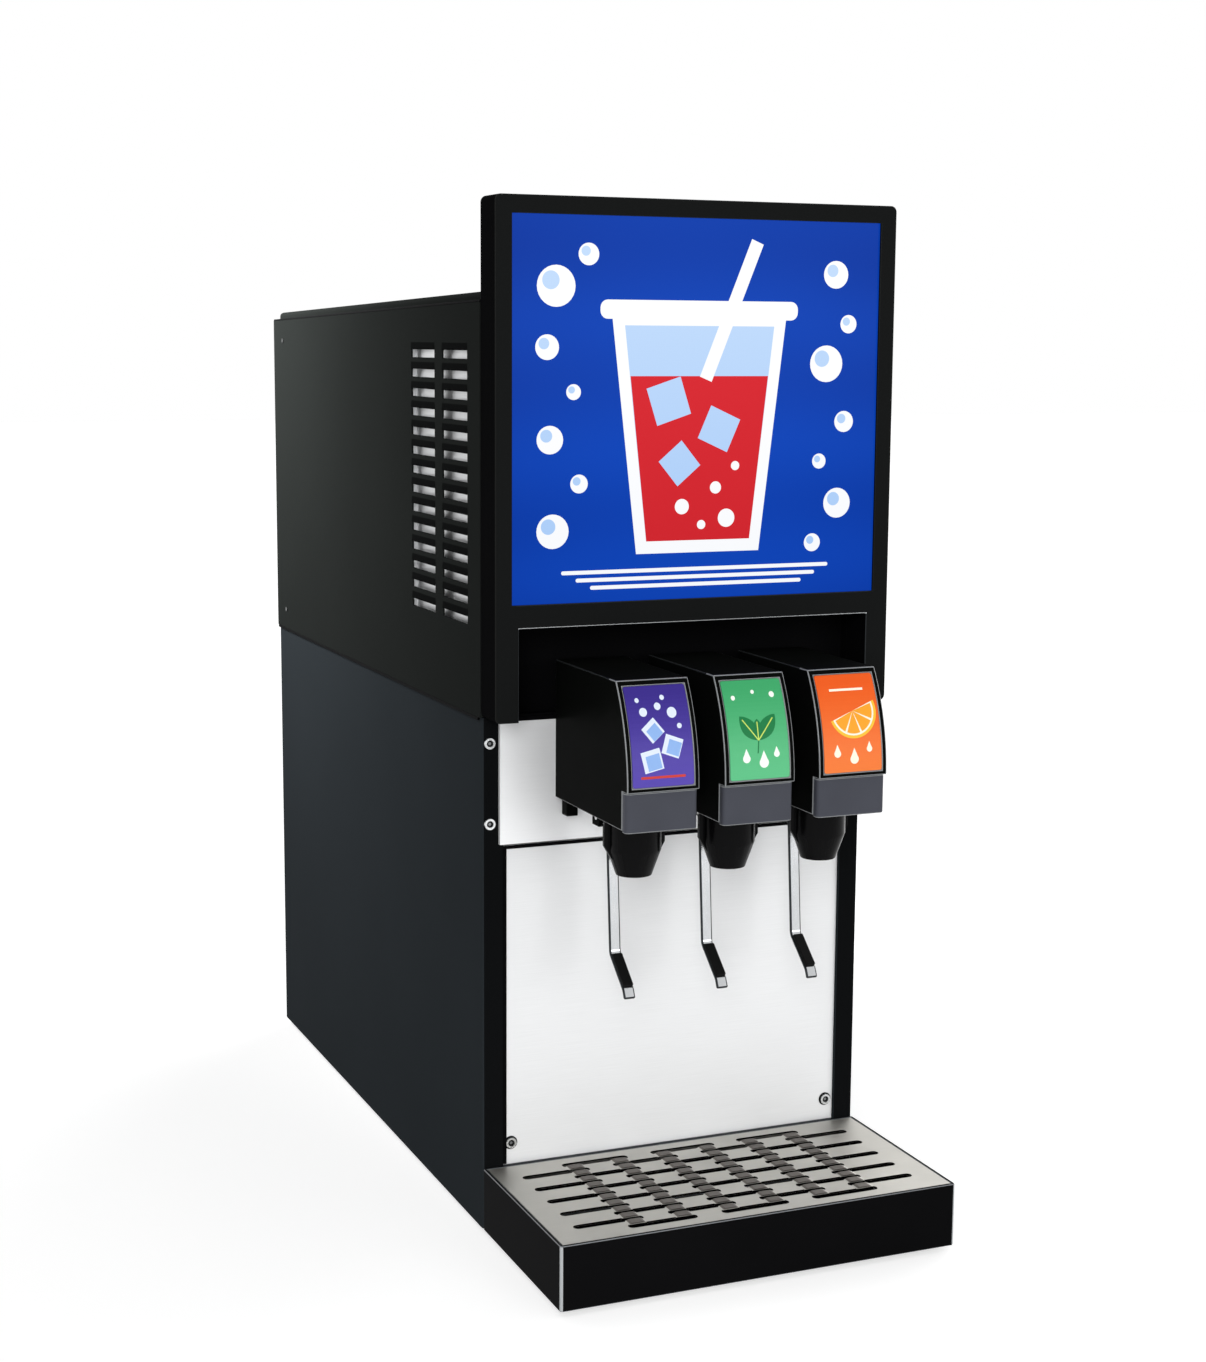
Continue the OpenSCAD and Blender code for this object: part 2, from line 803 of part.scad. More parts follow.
module splash_panel() {
  color("#e4e6e8") place() difference() {
    union() {
      span([-splash_x, splash_back, splash_z0], [splash_x, splash_y1, splash_z1]);
      for (s = [0, 1]) mirror([s, 0, 0])
        span([splash_x - sheet_t, splash_back, splash_z0], [splash_x, return_d, splash_z1]);
    }
    for (s = [-1, 1])
      rod_y(splash_back - cut, splash_y1 + cut, s * splash_screw_x, splash_screw_z, screw_d + hole_fit);
  }
}

// Black pan that closes the recess behind the sign's lower cut-out
module recess_liner() {
  x1 = notch_x + sheet_t + liner_gap;
  y0 = lap_gap - sign_gap;
  y1 = recess_d + sheet_t;
  z0 = lower_h + lap_gap;
  z1 = notch_z + sheet_t;
  color("#101111") place() {
    span([-x1, recess_d, z0], [x1, y1, z1]);
    span([-x1, y0, notch_z], [x1, y1, z1]);
    span([-x1, y0, z0], [x1, y1, z0 + sheet_t]);
    for (s = [0, 1]) mirror([s, 0, 0]) span([x1 - sheet_t, y0, z0], [x1, y1, z1]);
  }
}

// Pan-head screw along y, its head in front of the face at y
module panel_screw(x, y, z) {
  difference() {
    union() {
      rod_y(y - screw_head_t, y, x, z, screw_head_d);
      rod_y(y - screw_head_t, y + screw_l, x, z, screw_d);
    }
    rod_y(y - screw_head_t - cut, y - screw_head_t + socket_t, x, z, screw_socket_d);
  }
}

module panel_screws() {
  color("#c9ccce") place() {
    for (s = [-1, 1], z = post_screw_z) panel_screw(s * post_screw_x, 0, z);
    for (s = [-1, 1]) panel_screw(s * splash_screw_x, splash_back, splash_screw_z);
    for (s = [0, 1], z = hood_screw_z) mirror([s, 0, 0]) {
      rod_x(hood_x1, hood_x1 + hood_head_t, hood_screw_y, z, hood_screw_head_d);
      rod_x(hood_x0 - hood_screw_l, hood_x1 + hood_head_t, hood_screw_y, z, hood_screw_d);
    }
  }
}

// Aluminium screen trays behind the louvres
module vent_screens() {
  x1 = hood_x0 - lap_gap;
  color("#b9bcbe") place() for (s = [0, 1]) mirror([s, 0, 0]) difference() {
    span([x1 - screen_depth - sheet_t, screen_y0, screen_z0], [x1, screen_y1, screen_z1]);
    span([x1 - screen_depth, screen_y0 + sheet_t, screen_z0 + sheet_t],
         [x1 + cut, screen_y1 - sheet_t, screen_z1 - sheet_t]);
  }
}

// Sign box

module sign_frame() {
  color("#2b2d2e") place() difference() {
    along_y(sign_y0, sign_y1) difference() {
      round_area([-sign_x, sign_z0], [sign_x, sign_z1], sign_r);
      area([-notch_x, sign_z0 - cut], [notch_x, notch_z]);
    }
    along_y(sign_y0 - cut, sign_y1) area([-window_x, window_z0], [window_x, window_z1]);
    along_y(sign_y0 + sign_wall, sign_y1 + cut) area([-cavity_x, cavity_z0], [cavity_x, cavity_z1]);
  }
}

module sign_face() {
  y0 = sign_y0 + sign_wall + lap_gap;
  color("#0b47b8") place()
    span([-window_x - face_lap, y0, window_z0 - face_lap],
         [window_x + face_lap, y0 + face_t, window_z1 + face_lap]);
}

// Lamp board with rows of lamps, on four stand-offs from the sign's back
module led_panel() {
  y1 = sign_y1 - sheet_t - led_standoff;
  y0 = y1 - led_t;
  x1 = window_x - led_post_in;
  color("#e9e7da") place() {
    span([-window_x, y0, window_z0], [window_x, y1, window_z1]);
    for (i = [1 : lamp_rows])
      translate([0, 0, window_z0 + i * window_h / (lamp_rows + 1)])
        span([led_inset - window_x, y0 - lamp_t, -lamp_w / 2], [window_x - led_inset, y0, lamp_w / 2]);
    for (x = [-x1, x1], z = [window_z0 + led_post_in, window_z1 - led_post_in])
      rod_y(y1, y1 + led_standoff, x, z, led_post_d);
  }
}

module sign_back() {
  color("#1d1f20") place()
    span([panel_gap - cavity_x, sign_y1 - sheet_t, cavity_z0 + panel_gap],
         [cavity_x - panel_gap, sign_y1, cavity_z1 - panel_gap]);
}

// Valves

// Valve body with nozzle spigot, lever ears and a well for the lever's finger
module valve_base(k) {
  color("#1a1b1c") place() translate([valve_x(k), 0, 0]) difference() {
    union() {
      span([-base_x, block_y1, valve_z0], [base_x, base_y1, valve_z0 + base_t]);
      span([core_in - base_x, block_y1 + base_t, valve_z0], [base_x - core_in, base_y1, core_top]);
      translate([0, -nozzle_y, spigot_z]) cylinder(h = spigot_l + cut, d = spigot_d);
      for (s = [0, 1]) mirror([s, 0, 0])
        span([ear_x, -pivot_y - hub_d / 2 - ear_margin, pivot_z - hub_d / 2 - ear_margin],
             [ear_x + ear_t, -pivot_y + hub_d / 2 + ear_margin, valve_z0 + cut]);
    }
    span([-well_x, well_y0, valve_z0 - cut], [well_x, well_y1, well_z1]);
    translate([0, -nozzle_y, spigot_z - cut]) cylinder(h = spigot_l + port_l, d = port_d);
    rod_x(-ear_x - ear_t - cut, ear_x + ear_t + cut, -pivot_y, pivot_z, pin_d + pin_fit);
  }
}

// Side view of the cover up to the plane y = back, shrunk by d at its top and curved front
module cover_outline(back, d) {
  intersection() {
    area([-valve_reach - cut, valve_z0 + cover_lift - d], [back, valve_z1 - d]);
    translate([cover_cy, cover_cz]) circle(cover_r - d, $fn = 180);
  }
}

// Thin curved sheet that follows the cover's front between radii r0 and r1
module front_sheet(r0, r1, z0, z1, x) {
  along_x(-x, x) intersection() {
    translate([cover_cy, cover_cz]) difference() {
      circle(r1, $fn = 180);
      circle(r0, $fn = 180);
    }
    area([-valve_reach - cut, z0], [0, z1]);
  }
}

// Cover open at the bottom and the back, with a pocket for the card and a notch for the front block
module valve_cover(k) {
  color("#141516") place() translate([valve_x(k), 0, 0]) difference() {
    along_x(-valve_w / 2, valve_w / 2) cover_outline(cover_back, 0);
    along_x(-cover_in, cover_in) cover_outline(cover_back + cut, cover_t);
    span([-valve_w, -valve_reach - cut, valve_z0 - cut],
         [valve_w, block_y1 + panel_gap, block_z1 + panel_gap]);
    front_sheet(cover_r - card_t - card_gap, cover_r + cut, card_z0, card_z1, card_x);
  }
}

module flavour_card(k) {
  shades = ["#43358f", "#4fb477", "#ef6a2c"];
  color(shades[k]) place() translate([valve_x(k), 0, 0])
    front_sheet(cover_r - card_t - card_gap / 2, cover_r - card_gap / 2,
                card_z0 + card_gap, card_z1 - card_gap, card_x - card_gap);
}

module front_blocks() {
  x1 = valve_w / 2;
  color("#43454d") place() for (k = [0 : 2]) translate([valve_x(k), 0, valve_z0]) linear_extrude(block_h) {
    area([-x1, block_y0 + block_r], [x1, block_y1]);
    area([block_r - x1, block_y0], [x1 - block_r, block_y1]);
    for (s = [-1, 1]) translate([s * (x1 - block_r), block_y0 + block_r]) intersection() {
      circle(block_r);
      area([-block_r, -block_r], [block_r, 0]);
    }
  }
}

// Quick-change blocks on the valve plate, each with a latch foot under its valve
module mount_blocks() {
  x1 = base_x - mount_in;
  z0 = valve_z0 + mount_up;
  latch_x = base_x - latch_in;
  color("#1a1b1c") place() for (k = [0 : 2]) translate([valve_x(k), -plate_fwd, 0]) {
    span([-x1, -mount_d, z0], [x1, 0, z0 + mount_h]);
    translate([-latch_x, 0, 0])
      span([-latch_w / 2, -latch_d, valve_z0 - latch_h], [latch_w / 2, 0, z0 + cut]);
  }
}

// Sheath round the spigot: straight collar, cone, two side wings and an open outlet
module nozzle(k) {
  wing_x = nozzle_d / 2 + wing_reach;
  tip_r = nozzle_tip_d / 2;
  color("#0d0e0f") place() translate([valve_x(k), -nozzle_y, 0]) difference() {
    union() {
      rotate_extrude() polygon([
        [0, nozzle_z1], [nozzle_d / 2, nozzle_z1], [nozzle_d / 2, collar_z],
        [tip_r, nozzle_z0], [0, nozzle_z0]
      ]);
      for (s = [0, 1]) mirror([s, 0, 0]) along_y(-wing_t / 2, wing_t / 2) polygon([
        [spigot_d / 2 + wing_chamfer, nozzle_z1], [wing_x - wing_chamfer, nozzle_z1],
        [wing_x, nozzle_z1 - wing_drop], [wing_x, collar_z + wing_drop],
        [tip_r + wing_chamfer, nozzle_z0 + wing_foot], [tip_r - wing_chamfer, nozzle_z0 + wing_foot]
      ]);
    }
    rotate_extrude() polygon([
      [0, nozzle_z1 + cut], [nozzle_bore_r, nozzle_z1 + cut], [nozzle_bore_r, collar_z - nozzle_step],
      [outlet_r, nozzle_z0 + nozzle_step], [outlet_r, nozzle_z0 - cut], [0, nozzle_z0 - cut]
    ]);
  }
}

module nozzle_diffusers() {
  color("#e6e6e0") place() for (k = [0 : 2]) translate([valve_x(k), -nozzle_y, spigot_z - diffuser_l])
    cylinder(h = diffuser_l, d1 = diffuser_d - diffuser_taper, d2 = diffuser_d);
}

// Moves of the lever's centre line, as [direction, length] pairs
function bend(a, b) = [
  for (i = [0.5 : bend_steps]) [a + (b - a) * i / bend_steps, bend_r * abs(b - a) * PI / 180 / bend_steps]
];
lever_moves = concat(
  [[angle_1, run_1]], bend(angle_1, angle_2), [[angle_2, run_2]], bend(angle_2, angle_3), [[angle_3, run_3]]
);

// Points of the centre line, walked from p
function walk(p, moves, i = 0) = i == len(moves)
  ? [p]
  : concat([p], walk(p + moves[i][1] * [cos(moves[i][0]), sin(moves[i][0])], moves, i + 1));
lever_line = walk([-pivot_y, pivot_z], lever_moves);

// Direction of the centre line at point i
function heading(i) = i == 0
  ? lever_moves[0][0]
  : i == len(lever_moves) ? lever_moves[i - 1][0] : (lever_moves[i - 1][0] + lever_moves[i][0]) / 2;

// The centre line moved sideways by d
function beside(d) = [
  for (i = [0 : len(lever_line) - 1]) lever_line[i] + d * [-sin(heading(i)), cos(heading(i))]
];
function reversed(list) = [for (i = [len(list) - 1 : -1 : 0]) list[i]];

// Push lever: hub on the pin, bent strip below it, and a finger up to the microswitch
module lever(k) {
  color("#d7d9db") place() translate([valve_x(k), 0, 0]) difference() {
    union() {
      rod_x(-well_x, well_x, -pivot_y, pivot_z, hub_d);
      along_x(-lever_w / 2, lever_w / 2) polygon(concat(beside(lever_t / 2), reversed(beside(-lever_t / 2))));
      translate([0, -pivot_y, pivot_z])
        span([-lever_w / 2, -lever_t / 2, 0], [lever_w / 2, lever_t / 2, finger_l]);
    }
    rod_x(-ear_x, ear_x, -pivot_y, pivot_z, pin_d + 2 * run_fit);
  }
}

// Rubber pad on the front of the lever's sloping run
module lever_pad(k) {
  start = lever_line[bend_steps + 1];
  color("#131313") place() translate([valve_x(k), 0, 0]) along_x(pad_in - lever_w / 2, lever_w / 2 - pad_in)
    translate(start) rotate(angle_2) area([0, -lever_t / 2 - pad_t], [run_2, -lever_t / 2]);
}

module lever_pins() {
  color("#b8bbbd") place() for (k = [0 : 2])
    rod_x(valve_x(k) - ear_x - ear_t, valve_x(k) + ear_x + ear_t, -pivot_y, pivot_z, pin_d);
}

// Switches at the front of each well, clear of the lever's finger at full travel
module microswitches() {
  color("#5a2a24") place() for (k = [0 : 2]) translate([valve_x(k), 0, 0])
    span([-micro_w / 2, well_y0, pivot_z + finger_l - micro_below],
         [micro_w / 2, -pivot_y - lever_t / 2 - micro_gap, pivot_z + finger_l + micro_above]);
}

module solenoid_coils() {
  color("#6b4a2c") place() for (k = [0 : 2], s = [-1, 1])
    translate([valve_x(k) + s * (coil_d / 2 + coil_gap), -pivot_y - coil_front, core_top])
      cylinder(h = coil_l, d = coil_d);
}

// Drip tray

module drip_tray() {
  in_y0 = tray_y0 + tray_wall;
  in_y1 = tray_y1 - tray_wall;
  color("#101112") place() {
    difference() {
      linear_extrude(tray_h) round_area([-tray_x, tray_y0], [tray_x, tray_y1], tray_r);
      span([-tray_in, in_y0, tray_wall], [tray_in, in_y1, tray_h + cut]);
    }
    difference() {
      span([-tray_in, in_y0, ledge_z - ledge_t], [tray_in, in_y1, ledge_z]);
      span([ledge_w - tray_in, in_y0 + ledge_w, 0], [tray_in - ledge_w, in_y1 - ledge_w, tray_h]);
    }
    for (s = [-1, 1]) translate([s * tongue_x, 0, tongue_z])
      span([-tongue_w / 2, tray_y1 - cut, 0], [tongue_w / 2, tongue_y1, tongue_t]);
    for (s = [-1, 1], y = [tray_y0 + tray_foot_in, tray_y1 - tray_foot_in])
      translate([s * tray_foot_x, y, -foot_h]) cylinder(h = foot_h + cut, d = tray_foot_d);
  }
}

// Lengthwise centres of n slots in a row
function slot_xs(n) = [for (i = [0 : n - 1]) (i - (n - 1) / 2) * slot_pitch];
bridge_xs = [for (j = [1 : 2 * row_slots - 2]) (j / 2 - row_slots / 2 + 1 / 4) * slot_pitch];
bridge_h = slot_l / 2 - slot_pitch / 4 - bridge_margin;

// Bent strip between two overlapping slots, pressed up out of the plate
module bridge() {
  x0 = bridge_h - bridge_ramp;
  polygon([
    [-bridge_h, 0], [-x0, bridge_rise], [x0, bridge_rise], [bridge_h, 0],
    [bridge_h, -grate_t], [x0, bridge_rise - grate_t], [-x0, bridge_rise - grate_t], [-bridge_h, -grate_t]
  ]);
}

// Pressed plate whose skirt hangs just inside the tray's ledge
module cup_grate() {
  color("#a3a09b") place() {
    translate([0, 0, grate_z0]) linear_extrude(grate_t) difference() {
      area([-grate_x, grate_y0], [grate_x, grate_y1]);
      for (r = [0 : grate_rows - 1], x = slot_xs(r % 2 == 0 ? row_slots - 1 : row_slots))
        translate([x, row_y0 + r * row_pitch]) round_slot();
      for (r = [0 : grate_rows - 2], x = bridge_xs)
        translate([x - bridge_h, row_y0 + r * row_pitch]) square([2 * bridge_h, row_pitch]);
    }
    for (r = [0 : grate_rows - 2], x = bridge_xs) translate([x, row_y0 + r * row_pitch, grate_z1])
      along_y(bridge_gap / 2, row_pitch - bridge_gap / 2) bridge();
    difference() {
      span([-skirt_x, grate_y0 + skirt_in, grate_z0 - skirt_h], [skirt_x, grate_y1 - skirt_in, grate_z0]);
      span([grate_t - skirt_x, grate_y0 + skirt_in + grate_t, 0],
           [skirt_x - grate_t, grate_y1 - skirt_in - grate_t, tray_h]);
    }
  }
}

// Slot with round ends, centred
module round_slot() {
  square([slot_l - slot_w, slot_w], center = true);
  for (s = [-1, 1]) translate([s * (slot_l - slot_w) / 2, 0]) circle(d = slot_w);
}

// Chilling

module water_bath() {
  color("#d9d6c8") place() difference() {
    span([-bath_w / 2, bath_y0, pan_t], [bath_w / 2, bath_y1, bath_z1]);
    span([bath_wall - bath_w / 2, bath_y0 + bath_wall, bath_floor],
         [bath_w / 2 - bath_wall, bath_y1 - bath_wall, bath_z1 + cut]);
  }
}

// Plain sleeve in the space of the wound evaporator tube
module evaporator_coil() {
  color("#b5764a") place() translate([0, bath_cy, bath_floor]) difference() {
    cylinder(h = evap_h, d = evap_d);
    translate([0, 0, -cut]) cylinder(h = evap_h + 2 * cut, d = evap_d - 2 * evap_t);
  }
}

// Pressure vessel, open through its top port
module carbonator() {
  color("#c9ccce") place() translate([carb_x, bath_cy, bath_floor]) difference() {
    union() {
      cylinder(h = carb_h, d = carb_d);
      cylinder(h = carb_h + carb_port_l, d = carb_port_d);
    }
    translate([0, 0, carb_wall]) cylinder(h = carb_h - 2 * carb_wall, d = carb_d - 2 * carb_wall);
    translate([0, 0, carb_wall]) cylinder(h = carb_h + carb_port_l, d = carb_port_d - 2 * carb_wall);
  }
}

module agitator_motor() {
  color("#4a4d50") place() translate([agit_x, bath_cy, deck_z1]) difference() {
    cylinder(h = agit_motor_h, d = agit_motor_d);
    translate([0, 0, -cut]) cylinder(h = agit_socket + agit_end_gap + cut, d = agit_shaft_d + 2 * run_fit);
  }
}

module agitator() {
  color("#c9ccce") place() translate([agit_x, bath_cy, agit_z0]) {
    cylinder(h = deck_z1 + agit_socket - agit_z0, d = agit_shaft_d);
    translate([0, 0, -agit_hub_below]) cylinder(h = agit_hub_d, d = agit_hub_d);
    for (i = [0 : agit_blades - 1])
      rotate([0, 0, i * 360 / agit_blades]) translate([0, 0, agit_blade_up]) rotate([agit_twist, 0, 0])
        span([agit_blade_up, -agit_blade_w / 2, -blade_t / 2], [agit_blade_r, agit_blade_w / 2, blade_t / 2]);
  }
}

// Domed shell on its foot, hollow from below
module compressor() {
  drum_h = comp_h - comp_dome_h;
  color("#17181a") place() translate([0, comp_y, deck_z1]) difference() {
    union() {
      span([-comp_d / 2 - comp_lug, comp_lug - comp_d / 2, 0],
           [comp_d / 2 + comp_lug, comp_d / 2 - comp_lug, comp_foot_t]);
      cylinder(h = drum_h, d = comp_d);
      translate([0, 0, drum_h]) cylinder(h = comp_dome_h, d1 = comp_d, d2 = comp_d - comp_dome_h);
    }
    translate([0, 0, -cut]) cylinder(h = drum_h - comp_wall, d = comp_d - 2 * comp_wall);
  }
}

module condenser() {
  z0 = deck_z1 + sheet_t + panel_gap;
  row_h = (screen_z1 - z0) / cond_rows;
  color("#a9acae") place() difference() {
    span([cond_x0, screen_y0, z0], [cond_x1, screen_y1, screen_z1]);
    for (i = [1 : cond_rows - 1]) translate([0, 0, z0 + i * row_h])
      span([cond_x0 - cut, screen_y0 + cond_frame, -cond_slot / 2],
           [cond_x1 - cond_back, screen_y1 - cond_frame, cond_slot / 2]);
  }
}

// Fan motor on its bracket, with the shaft that carries the fan
module fan_motor() {
  motor_x = fan_x + fan_w + fan_gap;
  leg_x = motor_x + fan_leg_x;
  color("#3a3d40") place() {
    rod_x(motor_x, motor_x + fan_motor_l, fan_y, fan_z, fan_motor_d);
    rod_x(fan_x, motor_x + cut, fan_y, fan_z, fan_shaft_d);
    span([leg_x, fan_y - fan_leg_d / 2, deck_z1], [leg_x + fan_leg_w, fan_y + fan_leg_d / 2, fan_z]);
  }
}

module fan_blade() {
  color("#2c2f33") place() translate([fan_x, fan_y, fan_z]) rotate([0, 90, 0]) difference() {
    union() {
      cylinder(h = fan_w, d = fan_hub_d);
      for (i = [0 : fan_blades - 1])
        rotate([0, 0, i * 360 / fan_blades]) translate([0, 0, fan_w / 2]) rotate([fan_twist, 0, 0])
          span([fan_hub_d / 2 - fan_blade_root, -fan_blade_w / 2, -blade_t / 2],
               [fan_d / 2, fan_blade_w / 2, blade_t / 2]);
    }
    translate([0, 0, -cut]) cylinder(h = fan_w + 2 * cut, d = fan_shaft_d + 2 * run_fit);
  }
}

// Pump motor on its foot, with the pump head at one end
module water_pump() {
  color("#4a4d50") place() {
    span([-pump_foot_l / 2, pump_y - pump_foot_w / 2, pan_t],
         [pump_foot_l / 2, pump_y + pump_foot_w / 2, pump_z - pump_d / 4]);
    rod_x(-pump_l / 2, pump_l / 2, pump_y, pump_z, pump_d);
    rod_x(pump_l / 2 - cut, pump_l / 2 + pump_head_l, pump_y, pump_z, pump_head_d);
  }
}

// Sheet box with a cable hole in its rear wall
module control_box() {
  color("#6f7376") place() difference() {
    span(box_lo, box_hi);
    span(box_lo + sheet_t * [1, 1, 1], box_hi - sheet_t * [1, 1, 1]);
    rod_y(box_hi[1] - 2 * sheet_t, box_hi[1] + cut, (box_lo[0] + box_hi[0]) / 2,
          deck_z1 + box_h / 2, box_hole_d);
  }
}

// Services on the rear panel

module inlet_fittings() {
  color("#c4c7c9") place() for (x = stub_xs) difference() {
    union() {
      rod_y(cab_d - stub_in, cab_d + stub_l, x, stub_z, stub_d);
      rod_y(cab_d - stub_body_l, cab_d + cut, x, stub_z, stub_body_d);
      rod_y(cab_d, cab_d + stub_flange_t, x, stub_z, stub_flange_d);
    }
    rod_y(cab_d - stub_in - cut, cab_d + stub_l + cut, x, stub_z, stub_d - 2 * stub_wall);
  }
}

module cord_gland() {
  color("#161616") place() difference() {
    union() {
      rod_y(cab_d, cab_d + gland_out, gland_x, gland_z, gland_d);
      rod_y(cab_d - gland_in, cab_d + cut, gland_x, gland_z, gland_body_d);
    }
    rod_y(cab_d - gland_in - cut, cab_d + gland_out + cut, gland_x, gland_z, gland_bore);
  }
}

// Open-fronted box with a lip outside the panel and a pin for the key
module switch_housing() {
  pocket_x = rocker_w / 2 + rocker_gap;
  pocket_z = rocker_h / 2 + rocker_gap;
  color("#161616") place() translate([switch_x, cab_d, switch_z]) {
    difference() {
      union() {
        span([-switch_x1, -switch_d, -switch_z1], [switch_x1, cut, switch_z1]);
        span([-switch_x1 - switch_lip, 0, -switch_z1 - switch_lip],
             [switch_x1 + switch_lip, switch_lip_t, switch_z1 + switch_lip]);
      }
      span([-pocket_x, switch_lip_t - switch_d, -pocket_z], [pocket_x, switch_lip_t + cut, pocket_z]);
    }
    rod_x(-pocket_x - cut, pocket_x + cut, -rocker_back, 0, rocker_pin_d);
  }
}

// Key with two slanting faces, rocking on the housing's pin
module rocker_key() {
  h = rocker_h / 2 - rocker_gap;
  color("#8a1f1c") place() translate([switch_x, rocker_pin_y, switch_z]) rotate([rocker_tilt, 0, 0])
    difference() {
      along_x(-rocker_w / 2, rocker_w / 2) polygon([
        [-rocker_back, 0], [0, -h], [rocker_front, -h], [rocker_crown, 0], [rocker_front, h], [0, h]
      ]);
      rod_x(-rocker_w, rocker_w, 0, 0, rocker_pin_d + 2 * run_fit);
    }
}

base_pan();
left_side_panel();
right_side_panel();
rear_panel();
deck_plate();
hood_left_panel();
hood_right_panel();
hood_rear_panel();
hood_lid();
rubber_feet();
valve_plate();
splash_panel();
recess_liner();
panel_screws();
vent_screens();
sign_frame();
sign_face();
led_panel();
sign_back();
valve_base(0);  // valve_base_1
valve_base(1);  // valve_base_2
valve_base(2);  // valve_base_3
valve_cover(0);  // valve_cover_1
valve_cover(1);  // valve_cover_2
valve_cover(2);  // valve_cover_3
flavour_card(0);  // flavour_card_1
flavour_card(1);  // flavour_card_2
flavour_card(2);  // flavour_card_3
nozzle(0);  // nozzle_1
nozzle(1);  // nozzle_2
nozzle(2);  // nozzle_3
lever(0);  // lever_1
lever(1);  // lever_2
lever(2);  // lever_3
lever_pad(0);  // lever_pad_1
lever_pad(1);  // lever_pad_2
lever_pad(2);  // lever_pad_3
front_blocks();
mount_blocks();
lever_pins();
microswitches();
solenoid_coils();
nozzle_diffusers();
drip_tray();
cup_grate();
water_bath();
evaporator_coil();
carbonator();
agitator_motor();
agitator();
compressor();
condenser();
fan_motor();
fan_blade();
water_pump();
control_box();
inlet_fittings();
cord_gland();
switch_housing();
rocker_key();
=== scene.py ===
"""Finishes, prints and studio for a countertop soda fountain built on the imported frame."""

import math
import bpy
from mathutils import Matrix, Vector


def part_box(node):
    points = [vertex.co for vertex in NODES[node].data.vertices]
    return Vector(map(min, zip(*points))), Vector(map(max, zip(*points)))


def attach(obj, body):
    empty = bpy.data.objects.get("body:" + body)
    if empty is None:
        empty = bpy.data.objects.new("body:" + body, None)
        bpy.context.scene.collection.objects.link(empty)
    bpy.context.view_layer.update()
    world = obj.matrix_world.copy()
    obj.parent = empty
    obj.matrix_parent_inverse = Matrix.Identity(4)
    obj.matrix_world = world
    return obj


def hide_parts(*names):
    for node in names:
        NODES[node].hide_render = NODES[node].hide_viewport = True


bl_info = {
    "name": "Soda fountain looks",
    "version": (1, 0, 0),
    "blender": (4, 5, 0),
    "location": "View3D > Sidebar > Fountain",
    "description": "Finishes the soda fountain, prints its sign and cards, sets the studio",
    "category": "Object",
}

import bmesh
import bpy
from mathutils import Matrix, Vector

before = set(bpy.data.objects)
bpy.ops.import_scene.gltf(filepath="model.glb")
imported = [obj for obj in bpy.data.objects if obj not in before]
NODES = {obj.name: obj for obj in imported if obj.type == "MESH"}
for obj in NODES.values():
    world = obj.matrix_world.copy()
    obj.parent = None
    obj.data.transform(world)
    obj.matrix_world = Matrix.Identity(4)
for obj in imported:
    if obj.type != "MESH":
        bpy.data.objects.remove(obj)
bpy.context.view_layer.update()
CABINET = "cabinet"
MM = 0.001
VALVES = (1, 2, 3)
LIP_OUT = 0.45  # how far the louvre lips stand out of the hood, in mm
NOISE_LOW, NOISE_HIGH = 0.3, 0.7  # nearly all values of a noise texture lie between these
SEAM_REACH = 0.002 * MM  # corners of a node that are closer than this become one
FLAT_ANGLE, SHARP_ANGLE = 0.5, 40  # degrees: faces join below one, edges round above the other
STRIP_EDGE = 0.3 * MM  # rounding of the strips of painted seam shade


# Helpers


def linear(hex_colour):
    """sRGB hex colour as linear red, green and blue."""
    parts = [int(hex_colour[i : i + 2], 16) / 255 for i in (1, 3, 5)]
    return tuple(c / 12.92 if c <= 0.04045 else ((c + 0.055) / 1.055) ** 2.4 for c in parts)


def shade(colour, share):
    """The colour made darker or lighter by a share, with full alpha, for a colour socket."""
    return (*(min(1.0, c * share) for c in colour), 1.0)


def per_mm(size):
    """Texture scale whose features are this many millimetres wide, in object coordinates."""
    return 1 / (size * MM)


def add_node(tree, kind, inputs=None, **settings):
    """Adds one node: settings are its attributes, inputs are values or sockets to link."""
    made = tree.nodes.new(kind)
    for key, value in settings.items():
        setattr(made, key, value)
    for key, value in (inputs or {}).items():
        if isinstance(value, bpy.types.NodeSocket):
            tree.links.new(value, made.inputs[key])
        else:
            made.inputs[key].default_value = value
    return made


def new_surface(name, **sockets):
    """New material, its tree and its shader; sockets are the shader's constants."""
    made = bpy.data.materials.new(name)
    made.use_nodes = True
    shader = made.node_tree.nodes["Principled BSDF"]
    for key, value in sockets.items():
        shader.inputs[key.replace("_", " ")].default_value = value
    return made, made.node_tree, shader


